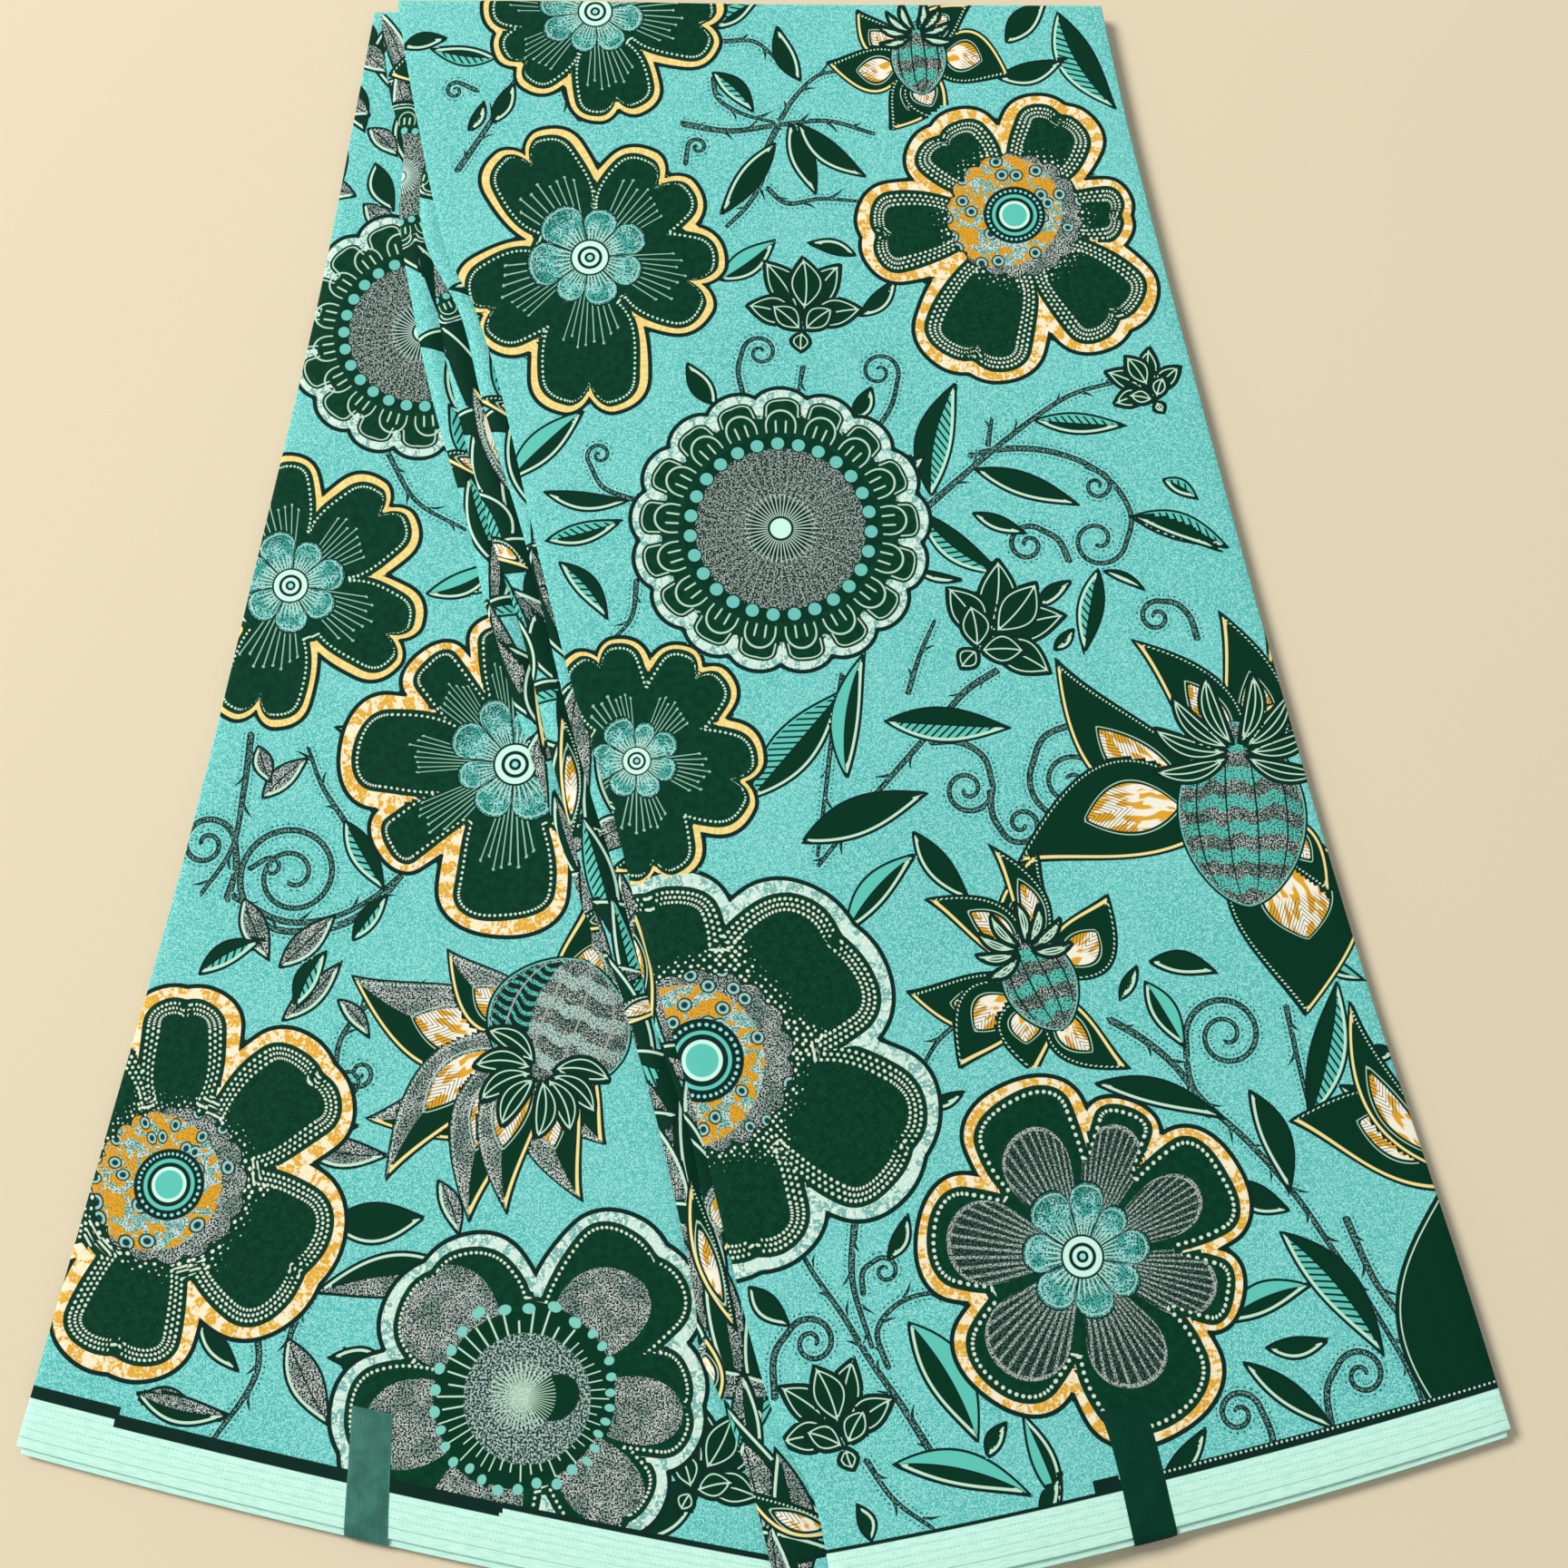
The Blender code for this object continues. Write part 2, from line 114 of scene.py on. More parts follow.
def curve_through(table: Rows, share: Array) -> Array:
    """A smooth curve through a table's rows.

    Cubic pieces join the rows, and the slope at each row is the mean of its neighbours'.

    Args:
        table: rows of share and value.
        share: where to read the curve.

    Returns:
        The curve's value at each share.
    """
    rows = np.array(table, float)
    x, y = rows[:, 0], rows[:, 1]
    chord = np.diff(y) / np.diff(x)
    slope = np.concatenate([chord[:1], (chord[1:] + chord[:-1]) / 2, chord[-1:]])
    k = np.clip(np.searchsorted(x, share, side="right") - 1, 0, len(x) - 2)
    width = x[k + 1] - x[k]
    f = (share - x[k]) / width
    return (
        y[k] * (1 + 2 * f) * (1 - f) ** 2
        + slope[k] * width * f * (1 - f) ** 2
        + y[k + 1] * f * f * (3 - 2 * f)
        + slope[k + 1] * width * f * f * (f - 1)
    )


def ease(low: float, high: float, value: Array) -> Array:
    """From 0 at low to 1 at high, level at both ends."""
    f = np.clip((value - low) / (high - low), 0.0, 1.0)
    return f * f * (3 - 2 * f)


def toward(degrees: float) -> Array:
    """The unit vector at an angle anticlockwise from the right."""
    a = math.radians(degrees)
    return np.array([math.cos(a), math.sin(a)])


def unit(vector: Array) -> Array:
    """A vector's direction."""
    return vector / np.linalg.norm(vector)


def left_of(way: Array) -> Array:
    """The direction a quarter turn to the left of another."""
    return np.array([-way[1], way[0]])


def run_along(points: Array) -> Array:
    """The distance from the first point to each, from point to point."""
    return np.concatenate([[0.0], np.cumsum(np.linalg.norm(np.diff(points, axis=0), axis=1))])


@dataclass(frozen=True)
class Line:
    """A long line down the cloth: where it starts, its swing, its length and how it bows."""

    start: Pair
    turn: float
    length: float
    bow: Rows = ((0.0, 0.0), (1.0, 0.0))

    @property
    def along(self) -> Array:
        """The unit vector down the line."""
        a = math.radians(self.turn)
        return np.array([math.sin(a), -math.cos(a)])

    @property
    def across(self) -> Array:
        """The unit vector to its right."""
        a = math.radians(self.turn)
        return np.array([math.cos(a), math.sin(a)])

    def at(self, share: Array, aside: float = 0.0) -> Array:
        """Points at shares of the length, bowed and moved aside.

        Args:
            share: shares of the length.
            aside: millimetres to the right.

        Returns:
            One plan point for each share.
        """
        share = np.asarray(share, float)
        sideways = curve_through(self.bow, np.clip(share, 0, 1)) + aside
        straight = np.asarray(self.start) + share[..., None] * self.length * self.along
        return straight + sideways[..., None] * self.across


def line_between(start: Pair, foot: Pair) -> Line:
    """The straight line from one point to another."""
    run = np.subtract(foot, start)
    return Line(start, math.degrees(math.atan2(run[0], -run[1])), float(np.hypot(*run)))


LEFT_SIDE = Line((-163.7, 316.2), -10.31, SIDE_LENGTH, LEFT_BOW)
RIGHT_SIDE = Line((139.3, 317.2), 12.76, SIDE_LENGTH, RIGHT_BOW)
FOLD_TOP = (-153.7, 318.2)
FOLD_TURN = 15.61
FOLD_SIDE = Line(FOLD_TOP, FOLD_TURN, FOLD_LENGTH, RIGHT_FOLD)
FOLD_LINE = Line(FOLD_TOP, FOLD_TURN, FOLD_LENGTH)
HIDDEN_SIDE = line_between((-121.7, 316.6), (12.3, -317.4))
BENCH_SIDE = line_between((-101.7, 316.4), (70.3, -300.8))


def right_underside(points: Array) -> Array:
    """Height of the right leaf's underside.

    It is level over the pleats and then comes down to the leaf's side.

    Args:
        points: plan points.

    Returns:
        The height at each.
    """
    away = points - np.asarray(FOLD_TOP)
    aside = away @ FOLD_LINE.across
    share = np.clip(away @ FOLD_LINE.along / FOLD_LENGTH, 0, 1)
    low = RIGHT_EDGE_UNDER_TOP + (RIGHT_EDGE_UNDER_FOOT - RIGHT_EDGE_UNDER_TOP) * share
    return RIGHT_UNDER + (low - RIGHT_UNDER) * ease(SETTLE_FROM, SETTLE_TO, aside)


def crowned(height: float, edge: Rows, over: Rows) -> Curve:
    """A pleat's underside, which swells as half a sine between its fold and the next one.

    Args:
        height: the underside at the folds.
        edge: how its own fold bows.
        over: how the fold over it bows.

    Returns:
        The height at plan points.
    """
    def underside(points: Array) -> Array:
        """The height at each point."""
        away = points - np.asarray(FOLD_TOP)
        share = np.clip(away @ FOLD_LINE.along / FOLD_LENGTH, 0, 1)
        start = curve_through(edge, share)
        width = curve_through(over, share) - start
        place = np.clip((away @ FOLD_LINE.across - start) / np.maximum(width, 1.0), 0, 1)
        return height + PLEAT_CROWN * ease(2.0, 11.0, width) * np.sin(math.pi * place)

    return underside


def level(height: float) -> Curve:
    """An underside at one height everywhere."""
    return lambda points: np.full(points.shape[:-1], height)


class PrintFinish(Enum):
    """The printed finishes of the cloth: leaves and vines, pod flowers, and the round flowers by
    what fills them. The value is the material slot."""

    LEAVES = 0
    PODS = 1
    STAMENS = 2
    MOSAIC = 3
    MEDALLION = 4
    RAYS = 5
    BEADED = 6


class RimTint(Enum):
    """How a flower's rim is coloured. The value is what the rim's shader reads."""

    GOLD = 0.0
    MOTTLED = 1.0
    MINT = 2.0


# A petal's outer depth is a share of its width, but not more than a share of its reach
OUTER_OF_WIDTH = 0.37
OUTER_OF_REACH = 0.4
# The dip in a petal's outer end spans this share of its half width
DIP_SPAN = 0.45
# The disc between the petals reaches this share of the way to the nearest cusp
DISC_SHARE = 0.92
# Half the distance over which a petal's slope is measured
NUDGE = 0.05


@dataclass(frozen=True)
class Flower:
    """An ordinary round flower: its eye's place, its petals and its rim.

    Each petal is a squarish oval that reaches further in than out, with a dip in the middle
    of its outer end. The flower is its petals together, with a disc between them.
    """

    fill: PrintFinish
    x: float
    y: float
    size: float
    petals: tuple[Triple, ...]
    rim: RimTint = RimTint.GOLD
    rim_width: float = 2.6
    dip: float = 0.3
    square: float = 2.5
    dot_rows: int = 1
    dot_radius: float = 0.52
    hearts: int = 7
    inner: float = 0.8

    @property
    def reach(self) -> float:
        """A radius round the eye that holds all petals."""
        return max(reach for _, reach, _ in self.petals) * 1.06 + 2

    def oval(self, number: int) -> Triple:
        """A petal's middle along its direction, half its width and half its outer depth."""
        _, reach, width = self.petals[number]
        outer = min(OUTER_OF_WIDTH * width, OUTER_OF_REACH * reach)
        return reach - outer, width / 2, outer

    def level(self, number: int, out: Array, side: Array) -> Array:
        """A measure that grows from 0 at a petal's middle to 1 at its edge.

        Args:
            number: the petal.
            out: places along the petal's direction, from its middle.
            side: places across it.

        Returns:
            (|out / depth|^s + |side / half width|^s)^(1 / s), with s the flower's squareness.
        """
        middle, half, outer = self.oval(number)
        slant = np.abs(side) / np.maximum(out, 1e-6) * outer / (DIP_SPAN * half)
        dip = self.dip * np.maximum(1 - slant, 0.0) ** 2
        depth = np.where(out > 0, outer * (1 - dip), self.inner * middle)
        return (np.abs(out / depth) ** self.square + np.abs(side / half) ** self.square) ** (1 / self.square)

    def seen_from(self, number: int, points: Array) -> tuple[Array, Array]:
        """Points seen from a petal's middle: along its direction and across it."""
        way = toward(self.petals[number][0])
        away = points - np.array([self.x, self.y])
        return away @ way - self.oval(number)[0], away @ left_of(way)

    def petal_depth(self, number: int, points: Array) -> Array:
        """How far points lie inside a petal: what is left of its level, over the level's slope."""
        out, side = self.seen_from(number, points)
        rise = self.level(number, out + NUDGE, side) - self.level(number, out - NUDGE, side)
        drift = self.level(number, out, side + NUDGE) - self.level(number, out, side - NUDGE)
        return (1 - self.level(number, out, side)) * (2 * NUDGE) / np.maximum(np.hypot(rise, drift), 1e-3)

    def disc(self) -> float:
        """Radius of the disc between the petals: most of the way to the nearest cusp."""
        turn = np.linspace(0, 2 * math.pi, 180, endpoint=False)
        away = np.linspace(0.2, 1.1, 60) * self.reach
        rays = np.stack([np.cos(turn)[:, None] * away, np.sin(turn)[:, None] * away], -1)
        points = rays.reshape(-1, 2) + np.array([self.x, self.y])
        inside = np.zeros(len(points), bool)
        for number in range(len(self.petals)):
            inside |= self.level(number, *self.seen_from(number, points)) < 1
        edge = (inside.reshape(len(turn), -1) * away).max(1)
        return DISC_SHARE * float(edge[edge > 0].min())

    def depth_at(self, points: Array) -> tuple[Array, Array]:
        """How far points lie inside the flower, and which petal each belongs to."""
        depths = np.stack([self.petal_depth(number, points) for number in range(len(self.petals))])
        away = np.hypot(points[:, 0] - self.x, points[:, 1] - self.y)
        return np.maximum(depths.max(0), self.disc() - away), depths.argmax(0)

    def along(self, number: int, points: Array) -> tuple[Array, Array, float]:
        """Where points lie along a petal's edge: the place of the edge's point straight outward.

        It is found by steps along the edge's tangent, from the point in the same direction.

        Args:
            number: the petal.
            points: plan points.

        Returns:
            The places in millimetres, the edge's bend there in 1 / mm and the edge's length.
        """
        turn = np.linspace(-math.pi, math.pi, 361)
        reach = 1 / self.level(number, np.cos(turn), np.sin(turn))
        edge = np.column_stack([np.cos(turn) * reach, np.sin(turn) * reach])
        run = run_along(edge)
        around = float(run[-1])
        way = np.unwrap(np.arctan2(*np.gradient(edge, run, axis=0).T[::-1]))
        bend = np.convolve(np.pad(np.gradient(way, run), 12, mode="wrap"), np.ones(25) / 25, mode="valid")
        out, side = self.seen_from(number, points)
        at = np.interp(np.arctan2(side, out), turn, run)
        for _ in range(5):
            there = at % around
            heading = np.interp(there, run, way)
            ahead = (out - np.interp(there, run, edge[:, 0])) * np.cos(heading)
            ahead += (side - np.interp(there, run, edge[:, 1])) * np.sin(heading)
            at = at + 0.7 * ahead
        return at, np.interp(at % around, run, bend), around

    def place_at(self, points: Array) -> Array:
        """Points seen from the eye, with the petals' directions spread evenly from X on, and the
        size of what lies in the middle."""
        away = points - np.array([self.x, self.y])
        turns = np.sort([turn % 360 for turn, _, _ in self.petals])
        count = len(turns)
        known = np.concatenate([turns, turns[:1] + 360])
        turn = (np.degrees(np.arctan2(away[:, 1], away[:, 0])) - turns[0]) % 360 + turns[0]
        even = np.radians(np.interp(turn, known, np.arange(count + 1) * 360 / count))
        radius = np.hypot(*away.T)
        size = np.full(len(points), self.size)
        return np.column_stack([radius * np.cos(even), radius * np.sin(even), size])

    @property
    def style(self) -> Triple:
        """What the rim's shader reads: its tint, its rows of dots and their radius."""
        return (self.rim.value, float(self.dot_rows), self.dot_radius)


def even_petals(count: int, reach: float, width: float, turn: float = 90.0) -> tuple[Triple, ...]:
    """Like petals spread evenly round a flower."""
    return tuple((turn + 360 * i / count, reach, width) for i in range(count))


class LeafLook(Enum):
    """How a leaf is filled: tone left of the midrib, tone right of it, and its marks.

    A tone is 0 for deep green, 1 for teal and 2 for grey speckle. Marks are 0 for none,
    1 and -1 for strokes on the right and on the left half, 2 for an inner contour and 3 for
    a contour with no midrib.
    """

    DARK = (0.0, 0.0, 0.0)
    TEAL = (1.0, 0.0, 0.0)
    STROKES_RIGHT = (0.0, 1.0, 1.0)
    STROKES_LEFT = (1.0, 0.0, -1.0)
    SPECKLED = (2.0, 2.0, 0.0)
    HALF_SPECKLED = (2.0, 0.0, 0.0)
    BUD = (0.0, 0.0, 2.0)
    PLAIN = (0.0, 0.0, 3.0)


class PodLook(Enum):
    """The parts of a pod flower. The value is what the pod's shader reads."""

    FLAME = 0.0
    FLAME_SPECKLED = 1.0
    POD = 2.0
    POD_SPECKLED = 3.0


@dataclass(frozen=True)
class Leaf:
    """A leaf-shaped motif from its base to its tip.

    Its half width swells as the sine of the share of its length, to a power below 1 for
    blunt ends, and its midrib rises sideways as a parabola.
    """

    base: Pair
    tip: Pair
    width: float
    look: Union[LeafLook, PodLook]
    bend: float = 0.0
    full: float = 1.0
    blunt: float = 1.0

    def edge_at(self, points: Array) -> Array:
        """How far points lie inside the leaf, along it and across it.

        Args:
            points: plan points, with two values in the last axis.

        Returns:
            The same points' depth, place along and place across, in the last axis.
        """
        run = np.subtract(self.tip, self.base)
        length = float(np.hypot(*run))
        way = run / length
        away = points - np.asarray(self.base)
        along = away @ way
        aside = away[..., 1] * way[0] - away[..., 0] * way[1]
        share = np.clip(along / length, 0.0, 1.0)
        midrib = 4 * self.bend * length * share * (1 - share)
        slope = 4 * self.bend * (1 - 2 * share)
        swell = share ** self.full
        wave = np.maximum(np.sin(math.pi * swell), 1e-3)
        half = self.width / 2 * wave ** self.blunt
        rise = self.width / 2 * math.pi * np.cos(math.pi * swell) * self.full / length
        rise = rise * self.blunt * wave ** (self.blunt - 1)
        across = aside - midrib
        depth = (half - np.abs(across)) / np.sqrt(1 + (np.abs(slope) * 0.5 + np.abs(rise)) ** 2)
        beyond = np.maximum(np.maximum(-along, along - length), 0.0)
        depth = np.where(beyond > 0, -np.hypot(beyond, across), depth)
        return np.stack([depth, along, across], -1)

    def moved(self, x: float, y: float) -> "Leaf":
        """The same leaf, moved."""
        base, tip = ((a + x, b + y) for a, b in (self.base, self.tip))
        return replace(self, base=base, tip=tip)

    @property
    def length(self) -> float:
        """From base to tip."""
        return math.dist(self.base, self.tip)

    @property
    def style(self) -> Triple:
        """What the leaf's shader reads."""
        if isinstance(self.look, LeafLook):
            return self.look.value
        return (self.look.value, self.width / 2, self.length)


@dataclass(frozen=True)
class Vine:
    """A stem or tendril through a few points, which may end in a scroll.

    The scroll is a spiral that turns in from the last point by some turns.
    """

    points: tuple[Pair, ...]
    width: float = 2.2
    foot: float = 0.6
    scroll: float = 0.0
    curl: float = 1.4

    def route(self) -> Array:
        """The stem's points, a smooth curve through the given ones and then the spiral."""
        rows = np.array(self.points, float)
        run = run_along(rows)
        share = np.linspace(0, 1, max(int(run[-1] / 1.3), 6))
        stem = np.column_stack([
            curve_through(np.column_stack([run / run[-1], part]), share) for part in rows.T])
        if not self.scroll:
            return stem
        side = np.sign(self.scroll)
        size = abs(self.scroll)
        middle = stem[-1] + size * side * left_of(unit(stem[-1] - stem[-2]))
        start = math.atan2(*(stem[-1] - middle)[::-1])
        turned = np.linspace(0, self.curl * 2 * math.pi, int(36 * self.curl) + 2)[1:]
        radius = size * (1 - 0.86 * turned / turned[-1])
        angle = start + side * turned
        spiral = middle + radius[:, None] * np.column_stack([np.cos(angle), np.sin(angle)])
        return np.vstack([stem, spiral])

    def nearest(self, points: Array) -> tuple[Array, Array]:
        """How far points lie inside the stem, and which of its short straight parts is nearest."""
        route = self.route()
        step = np.diff(route, axis=0)
        away = points[:, None] - route[None, :-1]
        share = np.clip(np.sum(away * step, 2) / np.sum(step ** 2, 1), 0, 1)
        gap = np.linalg.norm(away - share[..., None] * step, axis=2)
        part = np.argmin(gap, 1)
        return self.width / 2 - gap[np.arange(len(points)), part], part

    def beside(self, spots: Array, part: Array) -> Array:
        """Where the corners of faces lie, seen from the nearest part of the stem.

        Args:
            spots: plan points, a row of corners for each face.
            part: the stem's part for each face.

        Returns:
            Across the stem, along it, and half its width, which is negative past its ends.
        """
        route = self.route()
        step = np.diff(route, axis=0)
        length = np.linalg.norm(step, axis=1)
        start = np.concatenate([[0.0], np.cumsum(length)])
        way = (step / length[:, None])[part][:, None]
        away = spots - route[part][:, None]
        along = start[part][:, None] + np.sum(away * way, 2)
        across = away[..., 1] * way[..., 0] - away[..., 0] * way[..., 1]
        taper = self.foot + (1 - self.foot) * (1 - along / start[-1])
        beyond = np.maximum(-along, along - start[-1])
        half = np.where(beyond > 0.4, -beyond, self.width / 2 * taper)
        return np.stack([across, along, half], -1)


@dataclass(frozen=True)
class PodFlower:
    """A made-up bloom: flame-shaped petals round a scaled pod, with a tuft of short leaves."""

    x: float
    y: float
    turn: float
    length: float
    width: float
    tips: tuple[Triple, ...]
    look: PodLook = PodLook.FLAME

    def parts(self) -> tuple[list[Leaf], list[Leaf], list[Leaf]]:
        """Its petals, each to a tip with a width, then its pod and its tuft, from the ground up."""
        centre = np.array([self.x, self.y])
        under = []
        for x, y, width in self.tips:
            way = np.array([x, y]) - centre
            bend = 0.14 * math.copysign(1, math.sin(0.1 * x + 0.23 * y))
            under.append(Leaf(tuple(centre + 0.06 * way), (x, y), width, self.look, bend, full=0.8))
        way = toward(self.turn)
        speckled = self.look is PodLook.FLAME_SPECKLED
        pod = Leaf(tuple(centre - 0.62 * self.length * way), tuple(centre + 0.6 * self.length * way),
                   self.width, PodLook.POD_SPECKLED if speckled else PodLook.POD, blunt=0.55)
        tuft = []
        for offset in TUFT_TURNS:
            out = toward(self.turn + offset)
            foot = centre + 0.38 * self.length * way + 0.06 * self.width * out
            tuft.append(Leaf(tuple(foot), tuple(foot + (0.48 * self.length + 2) * out),
                             0.17 * self.width + 1, LeafLook.BUD, 0.12 * math.copysign(1, offset), blunt=0.6))
        return under, [pod], tuft


# A bud's leaves: turn in degrees, and length, width and how far forward the foot is over the bud's size
BUD_LEAVES = (
    (34, 1.2, 0.58, -0.1), (-30, 1.16, 0.58, -0.1), (76, 0.95, 0.54, -0.12), (-74, 1.0, 0.54, -0.14),
    (3, 0.98, 0.58, 0.02), (50, 0.7, 0.46, -0.3), (-48, 0.68, 0.46, -0.3), (180, 0.42, 0.36, -0.24),
)
# A bud's middle leaf over its charted size
BUD_SCALE = 1.22
# How many degrees each leaf of a pod's tuft is turned from the pod
TUFT_TURNS = (-104, 100, -72, 70, -42, 44, -14, 16)


def bud(x: float, y: float, size: float, turn: float) -> list[Leaf]:
    """A bud of overlapping short leaves that opens one way.

    Args:
        x: its middle.
        y: its middle.
        size: length of its middle leaf.
        turn: degrees anticlockwise from the right.

    Returns:
        The leaves, the uppermost last.
    """
    leaves = []
    size = BUD_SCALE * size
    way = toward(turn)
    for offset, reach, width, back in BUD_LEAVES:
        out = toward(turn + offset)
        foot = np.array([x, y]) + back * size * way
        leaves.append(Leaf(tuple(foot), tuple(foot + reach * size * out), width * size, LeafLook.BUD,
                           bend=0.06 * math.copysign(1, -offset)))
    return leaves


@dataclass(frozen=True)
class Band:
    """The plain selvedge band along a hem.

    Each row of steps is a place along the hem and, from there on, the band's height above
    the hem and the width of the dark line over it.
    """

    steps: tuple[Triple, ...]

    def at(self, along: Array) -> tuple[Array, Array]:
        """The band's height and its dark line's width at places along the hem."""
        rows = np.array(self.steps)
        k = np.clip(np.searchsorted(rows[:, 0], along, side="right") - 1, 0, len(rows) - 1)
        return rows[k, 1], rows[k, 2]


@dataclass(frozen=True)
class PrintPlan:
    """The print of one stretch of cloth: its motifs, from the ground up."""

    flowers: tuple[Flower, ...] = ()
    leaves: tuple[Leaf, ...] = ()
    flames: tuple[Leaf, ...] = ()
    pods: tuple[Leaf, ...] = ()
    tufts: tuple[Leaf, ...] = ()
    vines: tuple[Vine, ...] = ()
    band: Optional[Band] = None

    def moved(self, x: float, y: float) -> "PrintPlan":
        """The print with its flowers, leaves and flames moved, as on another fold of the cloth."""
        flowers = tuple(replace(f, x=f.x + x, y=f.y + y) for f in self.flowers)
        return replace(self, flowers=flowers, leaves=tuple(leaf.moved(x, y) for leaf in self.leaves),
                       flames=tuple(leaf.moved(x, y) for leaf in self.flames))


# How far round a motif faces belong to it, and the depth that is written far from all motifs
MOTIF_MARGIN = 1.6
VINE_MARGIN = 4.0
FAR = -60.0
# The least depth on a leaf that lies over another, so no gap opens between them
SEAM_DEPTH = 0.12
# What the shaders read on faces with no flower: its petals, how its dots close up, its heart's petals
NO_FLOWER = (5.0, 1.0, 7.0)
# A rim's width changes by a share of it, with a phase in 1 / mm, and is less on small petals
RIM_CHANGE = 0.18
RIM_PHASE = 0.11
FULL_RIM_HALF = 23.0
# How much the rim's dots may close up or spread where the rim bends
DOT_SPREAD = (0.66, 1.4)


@dataclass
class PrintValues:
    """The print as numbers on a mesh: a vector for each corner of each face, by name, and
    which printed finish each face has."""

    corners: dict[str, Array]
    finish: Array


def within(middles: Array, points: Array, room: float) -> Array:
    """Which middles lie in the box round some points, with some room."""
    inside = (middles > points.min(0) - room) & (middles < points.max(0) + room)
    return np.flatnonzero(inside.all(1))


